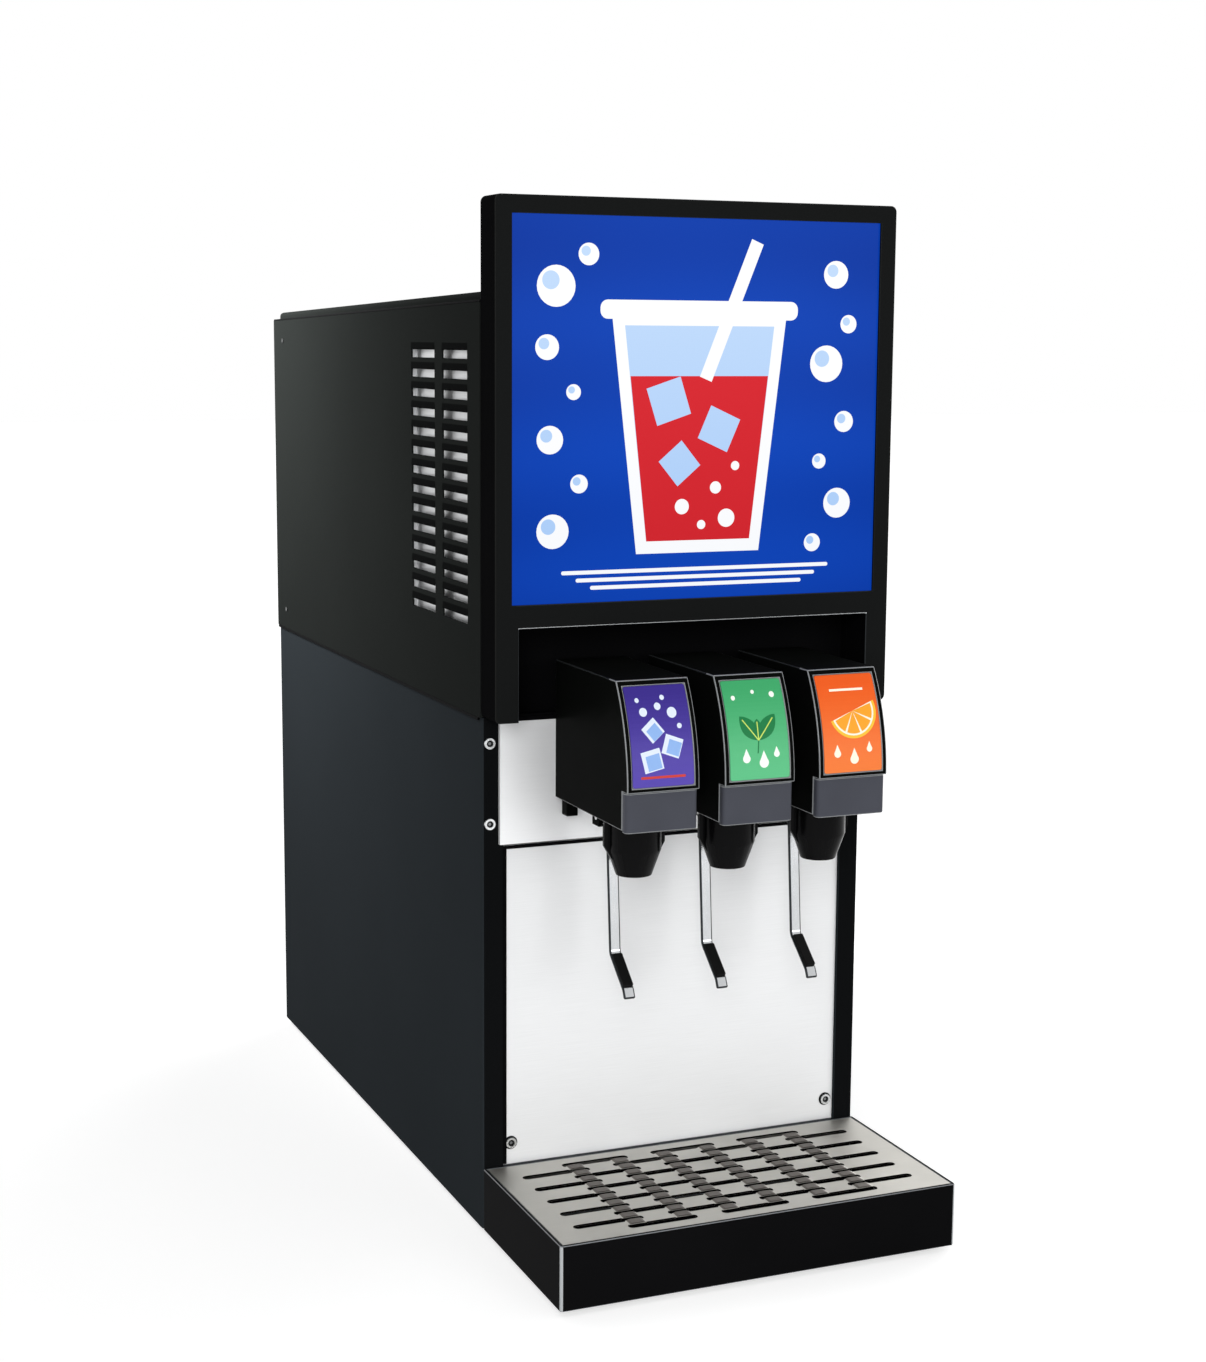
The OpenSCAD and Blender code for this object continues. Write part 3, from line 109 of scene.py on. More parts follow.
def grained(
    name, colour, grain, stretch=(1, 1, 1), mottle=70, tone=(0.88, 1.12), rough=(0.35, 0.5),
    lift=0.02, **sockets
):
    """Surface with fine grain in its roughness and relief, and broad changes of tone.

    grain and mottle are feature sizes in mm, stretch lengthens the grain along an axis, and lift
    is its relief in mm.
    """
    made, tree, shader = new_surface(name, **sockets)
    place = add_node(tree, "ShaderNodeTexCoord")
    run = add_node(
        tree,
        "ShaderNodeMapping",
        {"Vector": place.outputs["Object"], "Scale": tuple(1 / s for s in stretch)},
    )
    fine = add_node(
        tree, "ShaderNodeTexNoise",
        {"Vector": run.outputs["Vector"], "Scale": per_mm(grain), "Detail": 3.0}
    )
    broad = add_node(
        tree, "ShaderNodeTexNoise",
        {"Vector": place.outputs["Object"], "Scale": per_mm(mottle), "Detail": 2.0}
    )
    both = add_node(
        tree, "ShaderNodeMath", {0: fine.outputs["Fac"], 1: broad.outputs["Fac"]}, operation="ADD"
    )
    tones = add_node(
        tree,
        "ShaderNodeMapRange",
        {
            "Value": both.outputs["Value"],
            "From Min": 2 * NOISE_LOW,
            "From Max": 2 * NOISE_HIGH,
            "To Min": 0.0,
            "To Max": 1.0,
        },
    )
    paint = add_node(
        tree,
        "ShaderNodeMix",
        {
            "Factor": tones.outputs["Result"],
            "A": shade(colour, tone[0]),
            "B": shade(colour, tone[1]),
        },
        data_type="RGBA",
    )
    sheen = add_node(
        tree,
        "ShaderNodeMapRange",
        {
            "Value": fine.outputs["Fac"],
            "From Min": NOISE_LOW,
            "From Max": NOISE_HIGH,
            "To Min": rough[0],
            "To Max": rough[1],
        },
    )
    relief = add_node(
        tree, "ShaderNodeBump",
        {"Height": fine.outputs["Fac"], "Distance": lift * MM, "Strength": 1.0}
    )
    tree.links.new(paint.outputs["Result"], shader.inputs["Base Color"])
    tree.links.new(sheen.outputs["Result"], shader.inputs["Roughness"])
    tree.links.new(relief.outputs["Normal"], shader.inputs["Normal"])
    return made


def tint_where(surface, direction, limit, colour):
    """Tints a surface where its place along direction is under the limit.

    The left half is measured like the right, so x counts from the middle outwards.
    """
    tree = surface.node_tree
    base = tree.nodes["Principled BSDF"].inputs["Base Color"]
    place = add_node(tree, "ShaderNodeTexCoord")
    split = add_node(tree, "ShaderNodeSeparateXYZ", {"Vector": place.outputs["Object"]})
    side = add_node(tree, "ShaderNodeMath", {0: split.outputs["X"]}, operation="ABSOLUTE")
    folded = add_node(
        tree,
        "ShaderNodeCombineXYZ",
        {"X": side.outputs["Value"], "Y": split.outputs["Y"], "Z": split.outputs["Z"]},
    )
    along = add_node(
        tree, "ShaderNodeVectorMath", {0: folded.outputs["Vector"], 1: direction},
        operation="DOT_PRODUCT"
    )
    mask = add_node(
        tree, "ShaderNodeMath", {0: along.outputs["Value"], 1: limit}, operation="LESS_THAN"
    )
    tinted = add_node(
        tree,
        "ShaderNodeMix",
        {"Factor": mask.outputs["Value"], "A": base.links[0].from_socket, "B": shade(colour, 1)},
        data_type="RGBA",
    )
    tree.links.new(tinted.outputs["Result"], base)


def glowing(name, middle, edge, centre, reach, band):
    """Backlit sheet: its light falls off from the centre and ripples over the lamp rows.

    reach is how far the light falls off, in metres, and band the rows' spacing in mm.
    """
    made, tree, shader = new_surface(
        name, Base_Color=shade(edge, 0.05), Roughness=0.16, Specular_IOR_Level=0.02,
        Emission_Strength=1.0
    )
    place = add_node(tree, "ShaderNodeTexCoord")
    offset = add_node(
        tree,
        "ShaderNodeMapping",
        {
            "Vector": place.outputs["Object"],
            "Location": tuple(-c / reach for c in centre),
            "Scale": (1 / reach, 0.0, 1 / reach),
        },
    )
    fall = add_node(
        tree, "ShaderNodeTexGradient", {"Vector": offset.outputs["Vector"]},
        gradient_type="SPHERICAL"
    )
    rows = add_node(
        tree,
        "ShaderNodeTexWave",
        {
            "Vector": place.outputs["Object"],
            "Scale": per_mm(band) / (2 * math.pi),
            "Distortion": 1.5,
        },
        bands_direction="Z",
    )
    ripple = 0.12  # share of the light that comes and goes with the rows
    light = add_node(
        tree,
        "ShaderNodeMath",
        {0: rows.outputs["Fac"], 1: ripple, 2: fall.outputs["Fac"]},
        operation="MULTIPLY_ADD",
        use_clamp=True,
    )
    glow = add_node(
        tree,
        "ShaderNodeMix",
        {"Factor": light.outputs["Value"], "A": shade(edge, 1), "B": shade(middle, 1)},
        data_type="RGBA",
    )
    tree.links.new(glow.outputs["Result"], shader.inputs["Emission Color"])
    return made


def printed(name, low, high, z0, z1, dot=1.1, lit=False):
    """Offset print: an even fade from the foot at z0 to the head at z1, in fine halftone dots.

    dot is their spacing in mm, drawn coarser than the real 0.2 mm, so that it shows. A lit print
    is seen by the lamps behind it, any other by the light on it.
    """
    made, tree, shader = new_surface(
        name, Base_Color=shade(low, 0.02), Roughness=0.3, Specular_IOR_Level=0.1,
        Emission_Strength=float(lit)
    )
    place = add_node(tree, "ShaderNodeTexCoord")
    split = add_node(tree, "ShaderNodeSeparateXYZ", {"Vector": place.outputs["Object"]})
    rise = add_node(
        tree, "ShaderNodeMapRange", {"Value": split.outputs["Z"], "From Min": z0, "From Max": z1}
    )
    dots = add_node(
        tree,
        "ShaderNodeTexVoronoi",
        {"Vector": place.outputs["Object"], "Scale": per_mm(dot), "Randomness": 0.1},
    )
    dot_share = 0.16  # how much of the fade each dot makes
    soft = add_node(
        tree,
        "ShaderNodeMath",
        {0: dots.outputs["Distance"], 1: dot_share, 2: rise.outputs["Result"]},
        operation="MULTIPLY_ADD",
        use_clamp=True,
    )
    ink = add_node(
        tree,
        "ShaderNodeMix",
        {"Factor": soft.outputs["Value"], "A": shade(low, 1), "B": shade(high, 1)},
        data_type="RGBA",
    )
    tree.links.new(ink.outputs["Result"], shader.inputs["Emission Color" if lit else "Base Color"])
    return made


def finish_node(node, surface, edge=0.0, steps=2, painted_edge=None, full=False):
    """Gives a CAD node its finish and, where edge is above 0, rounds its edges by that much.

    painted_edge is the finish of the rounded edges, where it differs: their painted highlight,
    and on the levers their painted dark line. full keeps the whole rounding beside short edges.
    """
    piece = NODES[node]
    for place in piece.material_slots:
        place.material = surface
    if edge > 0:
        weld = piece.modifiers.new("Close seams", "WELD")
        weld.merge_threshold = SEAM_REACH
        flat = piece.modifiers.new("Join flat faces", "DECIMATE")
        flat.decimate_type = "DISSOLVE"
        flat.angle_limit = math.radians(FLAT_ANGLE)
        bevel = piece.modifiers.new("Round edges", "BEVEL")
        bevel.width = edge
        bevel.segments = steps
        bevel.limit_method = "ANGLE"
        bevel.angle_limit = math.radians(SHARP_ANGLE)
        bevel.use_clamp_overlap = not full
        bevel.face_strength_mode = "FSTR_ALL"
        if painted_edge:
            piece.data.materials.append(painted_edge)
            bevel.material = len(piece.material_slots) - 1
        even = piece.modifiers.new("Even shading", "WEIGHTED_NORMAL")
        even.keep_sharp = False
        even.use_face_influence = True


# Flat shapes for the prints, as lists of (x, z) points in millimetres


def disc(x, z, r, points=28):
    return [
        (x + r * math.cos(2 * math.pi * i / points), z + r * math.sin(2 * math.pi * i / points))
        for i in range(points)
    ]


def wedge(x, z, r, start, end, points=12):
    """Slice of a disc between two angles in degrees."""
    turns = [math.radians(start + (end - start) * i / points) for i in range(points + 1)]
    return [(x, z)] + [(x + r * math.cos(t), z + r * math.sin(t)) for t in turns]


def half_disc(x, z, r, tilt, points=24):
    turns = [math.radians(tilt + 180 * i / points) for i in range(points + 1)]
    return [(x + r * math.cos(t), z + r * math.sin(t)) for t in turns]


def leaf(x, z, length, width, tilt, points=14):
    """Pointed oval from its stem at (x, z)."""
    along = [i / points for i in range(points + 1)]
    upper = [(length * s, width / 2 * math.sin(math.pi * s) ** 0.8) for s in along]
    lower = [(a, -b) for a, b in reversed(upper[1:-1])]
    turn = math.radians(tilt)
    return [
        (x + a * math.cos(turn) - b * math.sin(turn), z + a * math.sin(turn) + b * math.cos(turn))
        for a, b in upper + lower
    ]


def drop(x, z, r, points=20):
    """Falling drop: round below, drawn to a point above."""
    turns = [math.radians(-220 + 260 * i / points) for i in range(points + 1)]
    return [(x + r * math.cos(t), z + r * math.sin(t)) for t in turns] + [(x, z + 2.4 * r)]


def bar(x0, z0, x1, z1, width):
    """Straight bar between two points."""
    length = math.hypot(x1 - x0, z1 - z0)
    a, b = -(z1 - z0) / length * width / 2, (x1 - x0) / length * width / 2
    return [(x0 - a, z0 - b), (x1 - a, z1 - b), (x1 + a, z1 + b), (x0 + a, z0 + b)]


def turned_square(x, z, side, tilt):
    turn = math.radians(tilt)
    corners = [(-1, -1), (1, -1), (1, 1), (-1, 1)]
    return [
        (
            x + side / 2 * (a * math.cos(turn) - b * math.sin(turn)),
            z + side / 2 * (a * math.sin(turn) + b * math.cos(turn)),
        )
        for a, b in corners
    ]


def rounded_box(x0, z0, x1, z1, r, points=5):
    turns = [math.pi / 2 * i / points for i in range(points + 1)]
    corners = [(x1 - r, z1 - r, 0), (x0 + r, z1 - r, 1), (x0 + r, z0 + r, 2), (x1 - r, z0 + r, 3)]
    return [
        (x + r * math.cos(t + q * math.pi / 2), z + r * math.sin(t + q * math.pi / 2))
        for x, z, q in corners
        for t in turns
    ]


def half_ring(x, z, r0, r1, start, points=14):
    """Half of a flat ring between two radii, from the start angle in degrees."""
    turns = [math.radians(start + 180 * i / points) for i in range(points + 1)]
    outer = [(x + r1 * math.cos(t), z + r1 * math.sin(t)) for t in turns]
    return outer + [(x + r0 * math.cos(t), z + r0 * math.sin(t)) for t in reversed(turns)]


def scattered(shape, x, z, places, layer, index):
    """The same shape at each of some places (x, z, sizes) round a point, for sheet_piece."""
    return [(shape(x + a, z + b, *rest), layer, index) for a, b, *rest in places]


def place_mesh(name, mesh, surfaces):
    """Object of a finished bmesh, linked to the scene."""
    data = bpy.data.meshes.new(name)
    mesh.to_mesh(data)
    mesh.free()
    for surface in surfaces:
        data.materials.append(surface)
    piece = bpy.data.objects.new(name, data)
    bpy.context.scene.collection.objects.link(piece)
    return piece


def strip_piece(name, strips, surface):
    """Dark strips of painted seam shade, each (x0, x1, y0, y1, z at y0, z at y1, height) in mm of
    the frame.
    """
    mesh = bmesh.new()
    for x0, x1, y0, y1, z0, z1, height in strips:
        ends = [[(x, y, z), (x, y, z + height)] for y, z in ((y0, z0), (y1, z1)) for x in (x0, x1)]
        a, b, c, d = ([mesh.verts.new(Vector(v) * MM) for v in pair] for pair in ends)
        for loop in (
            (a[0], b[0], d[0], c[0]), (a[1], c[1], d[1], b[1]), (a[0], a[1], b[1], b[0]),
            (c[0], d[0], d[1], c[1]), (a[0], c[0], c[1], a[1]), (b[0], b[1], d[1], d[0]),
        ):
            mesh.faces.new(loop)
    bmesh.ops.recalc_face_normals(mesh, faces=mesh.faces[:])
    piece = place_mesh(name, mesh, [surface])
    bevel = piece.modifiers.new("Round edges", "BEVEL")
    bevel.width = STRIP_EDGE
    bevel.segments = 2
    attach(piece, CABINET)
    return piece


def sheet_piece(name, shapes, surfaces, depth_at, thickness, step=None):
    """Thin solid sheets cut to flat shapes and laid on the face y = depth_at(x, z, layer).

    shapes is a list of (points in mm, layer, index of the surface). depth_at and thickness are in
    metres. With step, a shape is sliced every step mm of height, so that it follows a curve.
    """
    mesh = bmesh.new()
    for points, layer, index in shapes:
        part = bmesh.new()
        part.faces.new([part.verts.new((x * MM, 0, z * MM)) for x, z in points])
        if step:
            low = min(z for _, z in points)
            high = max(z for _, z in points)
            for i in range(1, math.ceil((high - low) / step)):
                bmesh.ops.bisect_plane(
                    part,
                    geom=part.verts[:] + part.edges[:] + part.faces[:],
                    plane_co=(0, 0, (low + i * step) * MM),
                    plane_no=(0, 0, 1),
                )
        bmesh.ops.triangulate(part, faces=part.faces[:], ngon_method="EAR_CLIP")
        front = part.faces[:]
        rim = [edge.verts[:] for edge in part.edges if edge.is_boundary]
        back = {v: part.verts.new(v.co) for v in part.verts[:]}
        for face in front:
            part.faces.new([back[v] for v in face.verts])
        for a, b in rim:
            part.faces.new((a, b, back[b], back[a]))
        for v, behind in back.items():
            v.co.y = depth_at(v.co.x, v.co.z, layer)
            behind.co.y = v.co.y + thickness
        bmesh.ops.recalc_face_normals(part, faces=part.faces[:])
        for face in part.faces:
            face.material_index = index
        flat = bpy.data.meshes.new(name + "_part")
        part.to_mesh(flat)
        part.free()
        mesh.from_mesh(flat)
        bpy.data.meshes.remove(flat)
    piece = place_mesh(name, mesh, surfaces)
    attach(piece, CABINET)
    return piece


# Settings that a user would change


class FountainSizes(bpy.types.PropertyGroup):
    """Sizes of the edges, the prints and the camera's view."""

    fold_edge: bpy.props.FloatProperty(
        name="Folded edge", description="Rounding of folded sheet edges", default=0.5 * MM,
        precision=5, unit="LENGTH"
    )
    mould_edge: bpy.props.FloatProperty(
        name="Moulded edge", description="Rounding of moulded edges", default=0.65 * MM,
        precision=5, unit="LENGTH"
    )
    lever_edge: bpy.props.FloatProperty(
        name="Lever edge", description="Rounding of the lever strips", default=1.1 * MM,
        precision=5, unit="LENGTH"
    )
    card_radius: bpy.props.FloatProperty(
        name="Card radius", description="Radius of the cards' curve", default=125.9 * MM,
        precision=5, unit="LENGTH"
    )
    card_corner: bpy.props.FloatProperty(
        name="Card corner", description="Corner radius of the cards", default=1.5 * MM, precision=5,
        unit="LENGTH"
    )
    lens: bpy.props.FloatProperty(
        name="Lens", description="Focal length of the camera", default=59.24, min=20, max=200,
        unit="CAMERA"
    )


class FountainColours(bpy.types.PropertyGroup):
    """Main colours of the machine."""

    side: bpy.props.FloatVectorProperty(
        name="Lower panels", description="Powder coat of the lower panels", subtype="COLOR",
        default=linear("#25292c")
    )
    hood: bpy.props.FloatVectorProperty(
        name="Hood", description="Powder coat of the hood", subtype="COLOR",
        default=linear("#1b1d1c")
    )
    steel: bpy.props.FloatVectorProperty(
        name="Splash", description="Brushed stainless of the front panels", subtype="COLOR",
        default=linear("#e1e2e3")
    )
    grate: bpy.props.FloatVectorProperty(
        name="Cup grate", description="Brushed stainless of the cup grate", subtype="COLOR",
        default=linear("#b9b7b1")
    )
    plastic: bpy.props.FloatVectorProperty(
        name="Valves", description="Moulded plastic of the valves", subtype="COLOR",
        default=linear("#0a0b0a")
    )
    block: bpy.props.FloatVectorProperty(
        name="Front blocks", description="Moulded plastic of the front blocks", subtype="COLOR",
        default=linear("#44464e")
    )
    sign: bpy.props.FloatVectorProperty(
        name="Sign", description="Backlit acrylic at the sign's middle", subtype="COLOR",
        default=linear("#1459dc")
    )
    sign_edge: bpy.props.FloatVectorProperty(
        name="Sign edge", description="Backlit acrylic at the sign's edges", subtype="COLOR",
        default=linear("#06349a")
    )


# Pieces


class FOUNTAIN_OT_coat_cabinet(bpy.types.Operator):
    """Coats the sheet panels of the cabinet, the hood and the sign box"""

    bl_idname = "fountain.coat_cabinet"
    bl_label = "Coat the cabinet"

    def execute(self, context):
        sizes, colours = context.scene.fountain_sizes, context.scene.fountain_colours
        # Powder coat on sheet steel: melted and cured, with a faint orange peel and a satin sheen.
        slate = grained(
            "powder_coated_steel_slate", colours.side, 1.4, mottle=110, tone=(0.93, 1.07),
            rough=(0.42, 0.54), lift=0.008, Specular_IOR_Level=0.001,
        )
        black = grained(
            "powder_coated_steel_black", colours.hood, 1.4, mottle=110, tone=(0.93, 1.07),
            rough=(0.4, 0.52), lift=0.008, Specular_IOR_Level=0.001,
        )
        # The lid's rounded edges get a paler, glossier copy of the coat: a painted highlight.
        painted_edge = grained(
            "powder_coated_steel_lid_edge_highlight", linear("#3a3d3f"), 1.4, mottle=60, rough=(0.25, 0.35),
            lift=0.004, Specular_IOR_Level=0.2,
        )
        # Dull primer on inner chassis parts: flatter and greyer than the outside coat.
        primer = grained("primed_steel_grey", linear("#4a4e52"), 1.0, rough=(0.6, 0.75), lift=0.01)
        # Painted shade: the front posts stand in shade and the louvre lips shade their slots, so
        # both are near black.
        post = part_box("left_side_panel")[0].y
        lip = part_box("hood_right_panel")[1].x
        post_skin, lip_depth = 0.4 * MM, 0.75 * LIP_OUT * MM  # how deep these tints reach
        tint_where(slate, (0, 1, 0), post + post_skin, linear("#0f1011"))
        tint_where(black, (-1, 0, 0), lip_depth - lip, linear("#0a0b0b"))
        for node in ("left_side_panel", "right_side_panel", "rear_panel"):
            finish_node(node, slate)
        for node in ("hood_left_panel", "hood_right_panel", "hood_rear_panel", "sign_back"):
            finish_node(node, black)
        finish_node("hood_lid", black, sizes.fold_edge, 2, painted_edge)
        # The sign box has a duller coat, which hardly shines at its sides.
        matt = grained(
            "powder_coated_steel_matt", linear("#0a0a0b"), 1.2, mottle=90, rough=(0.5, 0.62),
            lift=0.01, Specular_IOR_Level=0.0005,
        )
        # The front face is painted lighter than the sides: painted light, as the light falls on the
        # front.
        front_skin = 0.3 * MM
        tint_where(matt, (0, 1, 0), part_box("sign_frame")[0].y + front_skin, linear("#181919"))
        # Its rounded edges get painted tones: a pale painted highlight along the edge over the
        # recess, darker elsewhere.
        frame_edge_paint = grained(
            "powder_coated_steel_frame_edge_highlight", linear("#26282a"), 1.4, mottle=60, rough=(0.25, 0.35),
            lift=0.004, Specular_IOR_Level=0.02,
        )
        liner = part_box("recess_liner")[1]
        below_face, below_liner = 8 * MM, 1.5 * MM  # the painted highlight lies between these heights
        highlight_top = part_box("sign_face")[0].z - below_face
        tint_where(frame_edge_paint, (0, 0, 1), highlight_top, linear("#c2c5c7"))
        tint_where(frame_edge_paint, (0, 0, 1), liner.z - below_liner, linear("#303335"))
        tint_where(frame_edge_paint, (-1, 0, 0), -liner.x, linear("#1c1d1c"))
        finish_node("sign_frame", matt, sizes.fold_edge, 3, frame_edge_paint, True)
        finish_node("recess_liner", matt)
        for node in ("base_pan", "deck_plate", "control_box"):
            finish_node(node, primer)
        return {"FINISHED"}


class FOUNTAIN_OT_brush_front(bpy.types.Operator):
    """Brushes the stainless front panels and plates their screws"""

    bl_idname = "fountain.brush_front"
    bl_label = "Brush the front"

    def execute(self, context):
        colours = context.scene.fountain_colours
        # Stainless sheet brushed across its width: soft near-white reflections in fine lines.
        # The brush lines are about 0.1 mm wide and are drawn at 0.5 mm, so that they show.
        brushed = grained(
            "brushed_stainless_sheet", colours.steel, 0.5, stretch=(60, 1, 1), mottle=160,
            tone=(0.93, 1.03), rough=(0.4, 0.52), lift=0.002, Metallic=0.3,
        )
        # Zinc-plated screws: bright, with a slightly cloudy film.
        zinc = grained(
            "zinc_plated_steel", linear("#d3d5d6"), 0.8, mottle=4, rough=(0.2, 0.34), lift=0.004,
            Metallic=1.0,
        )
        # The hood's small screws are painted with the hood.
        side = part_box("right_side_panel")[1].x
        hood_step = 0.5 * MM  # screws further out than this belong to the hood
        tint_where(zinc, (-1, 0, 0), -(side + hood_step), linear("#4a4c4d"))
        # The valve plate is polished after brushing, with clearer reflections, and painted lighter
        # against the shade over it.
        plate_polish_and_painted_light = grained(
            "stainless_plate_polish_and_painted_light", linear("#f2f3f4"), 0.5, stretch=(60, 1, 1), mottle=160,
            tone=(0.96, 1.02), rough=(0.34, 0.44), lift=0.002, Metallic=0.3,
        )
        finish_node("valve_plate", plate_polish_and_painted_light)
        finish_node("splash_panel", brushed)
        finish_node("panel_screws", zinc)
        pin_edge = 0.3 * MM
        finish_node("lever_pins", zinc, pin_edge)
        # Mill-finish aluminium screens behind the louvres: pale, with rolling lines.
        mill = grained(
            "rolled_aluminium_screen", linear("#d8d9da"), 0.6, stretch=(1, 40, 1), mottle=30,
            rough=(0.35, 0.5), lift=0.004, Metallic=1.0,
        )
        finish_node("vent_screens", mill)
        return {"FINISHED"}


class FOUNTAIN_OT_lay_seam_and_socket_shade(bpy.types.Operator):
    """Lays dark strips along the seams as painted shade, and the sockets and washers of the screws
    """

    bl_idname = "fountain.fit_seals"
    # The seals are dark strips of painted seam shade.
    bl_label = "Fit the seals"

    def execute(self, context):
        # Painted seam shade: strips finished like extruded rubber, matt black, so each seam reads as
        # a dark line.
        rubber = grained(
            "painted_seam_shade_black", linear("#060607"), 0.9, mottle=12, rough=(0.6, 0.75),
            lift=0.01, Specular_IOR_Level=0.02,
        )
        self.hood_seam_shade(rubber)
        self.splash_seam_shade(rubber)
        self.sockets()
        return {"FINISHED"}

    def hood_seam_shade(self, rubber):
        low, high = (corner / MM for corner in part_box("hood_left_panel"))
        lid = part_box("hood_lid")[1].x / MM
        edge = abs(low.x) - LIP_OUT
        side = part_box("right_side_panel")[1].x / MM
        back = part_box("hood_rear_panel")[1].z / MM
        fit = 0.1  # gap beside the strips, in mm as the rest
        lid_height, seam_height, seam_start = 1.4, 2.3, 6
        seam = low.z - fit - seam_height
        strips = []
        for s in (-1, 1):
            x0, x1 = sorted((s * (lid + fit), s * (edge - fit)))
            y0, y1 = low.y + 2 * fit, high.y - fit
            strips.append((x0, x1, y0, y1, high.z + fit, back + 4 * fit, lid_height))
            x0, x1 = sorted((s * (side + 0.5 * fit), s * (edge - 3 * fit)))
            strips.append((x0, x1, low.y + seam_start, y1, seam, seam, seam_height))
        piece = strip_piece("hood_seam_shade", strips, rubber)

    def splash_seam_shade(self, rubber):
        low, high = (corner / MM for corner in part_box("splash_panel"))
        plate_front, plate_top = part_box("valve_plate")[0].y / MM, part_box("valve_plate")[1].z / MM
        fit = 0.1  # gap beside the strips, in mm as the rest
        width, thick, top_height, foot = 2.8, 1.3, 2.3, 0.7  # strips on the splash panel
        gap_height, gap_depth = 2.9, 2.0  # strip over the valve plate
        y0, y1 = low.y - thick, low.y - 0.5 * fit
        inner, top = low.x + width, high.z - fit - top_height
        bottom, over = low.z + foot, plate_top + 0.5 * fit
        strips = [
            (low.x + fit, inner, y0, y1, bottom, bottom, high.z - fit - bottom),
            (inner, high.x - fit, y0, y1, top, top, top_height),
            (low.x, high.x, plate_front + 2 * fit, plate_front + gap_depth, over, over, gap_height),
        ]
        piece = strip_piece("splash_seam_shade", strips, rubber)

    def sockets(self):
        # Painted shade in the sockets, and black oxide on the washers: dark centres and rings at the
        # bright heads.
        washer_black_and_socket_shade = grained(
            "washer_black_and_painted_socket_shade", linear("#0d0d0e"), 0.5, mottle=5, rough=(0.35, 0.5), lift=0.004,
            Specular_IOR_Level=0.05,
        )
        # Machined steel at the foot of each socket: a dull grey spot.
        bare = grained(
            "machined_steel", linear("#77797b"), 0.5, mottle=5, rough=(0.3, 0.45), lift=0.002,
            Metallic=1.0,
        )
        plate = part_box("valve_plate")
        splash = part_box("splash_panel")
        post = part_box("left_side_panel")[0].y / MM
        panel = splash[0].y / MM
        post_x, post_in, splash_in, splash_rise = 135.2, 14, 6, 15  # places of the heads, in mm
        socket_r, key_r, washer_r0, washer_r1 = 2.2, 1.1, 3.75, 4.6
        socket_out, key_out, washer_out = 1.0, 1.1, 0.6  # how far they stand before the sheet
        thickness = 0.3 * MM
        heights = (plate[0].z / MM + post_in, plate[1].z / MM - post_in)
        post_heads = [(s * post_x, z, post) for s in (-1, 1) for z in heights]
        splash_x, splash_z = splash[1].x / MM - splash_in, splash[0].z / MM + splash_rise
        splash_heads = [(s * splash_x, splash_z, panel) for s in (-1, 1)]
        shapes = []
        fronts = []
        for x, z, y in post_heads + splash_heads:
            shapes.append((disc(x, z, socket_r, 24), len(fronts), 0))
            shapes.append((disc(x, z, key_r, 6), len(fronts) + 1, 1))
            fronts += [y - socket_out, y - key_out]
        for x, z, y in splash_heads:
            for start in (0, 180):
                shapes.append((half_ring(x, z, washer_r0, washer_r1, start), len(fronts), 0))
            fronts.append(y - washer_out)
        piece = sheet_piece(
            "screw_sockets", shapes, (washer_black_and_socket_shade, bare), lambda px, pz, i: fronts[i] * MM, thickness
        )


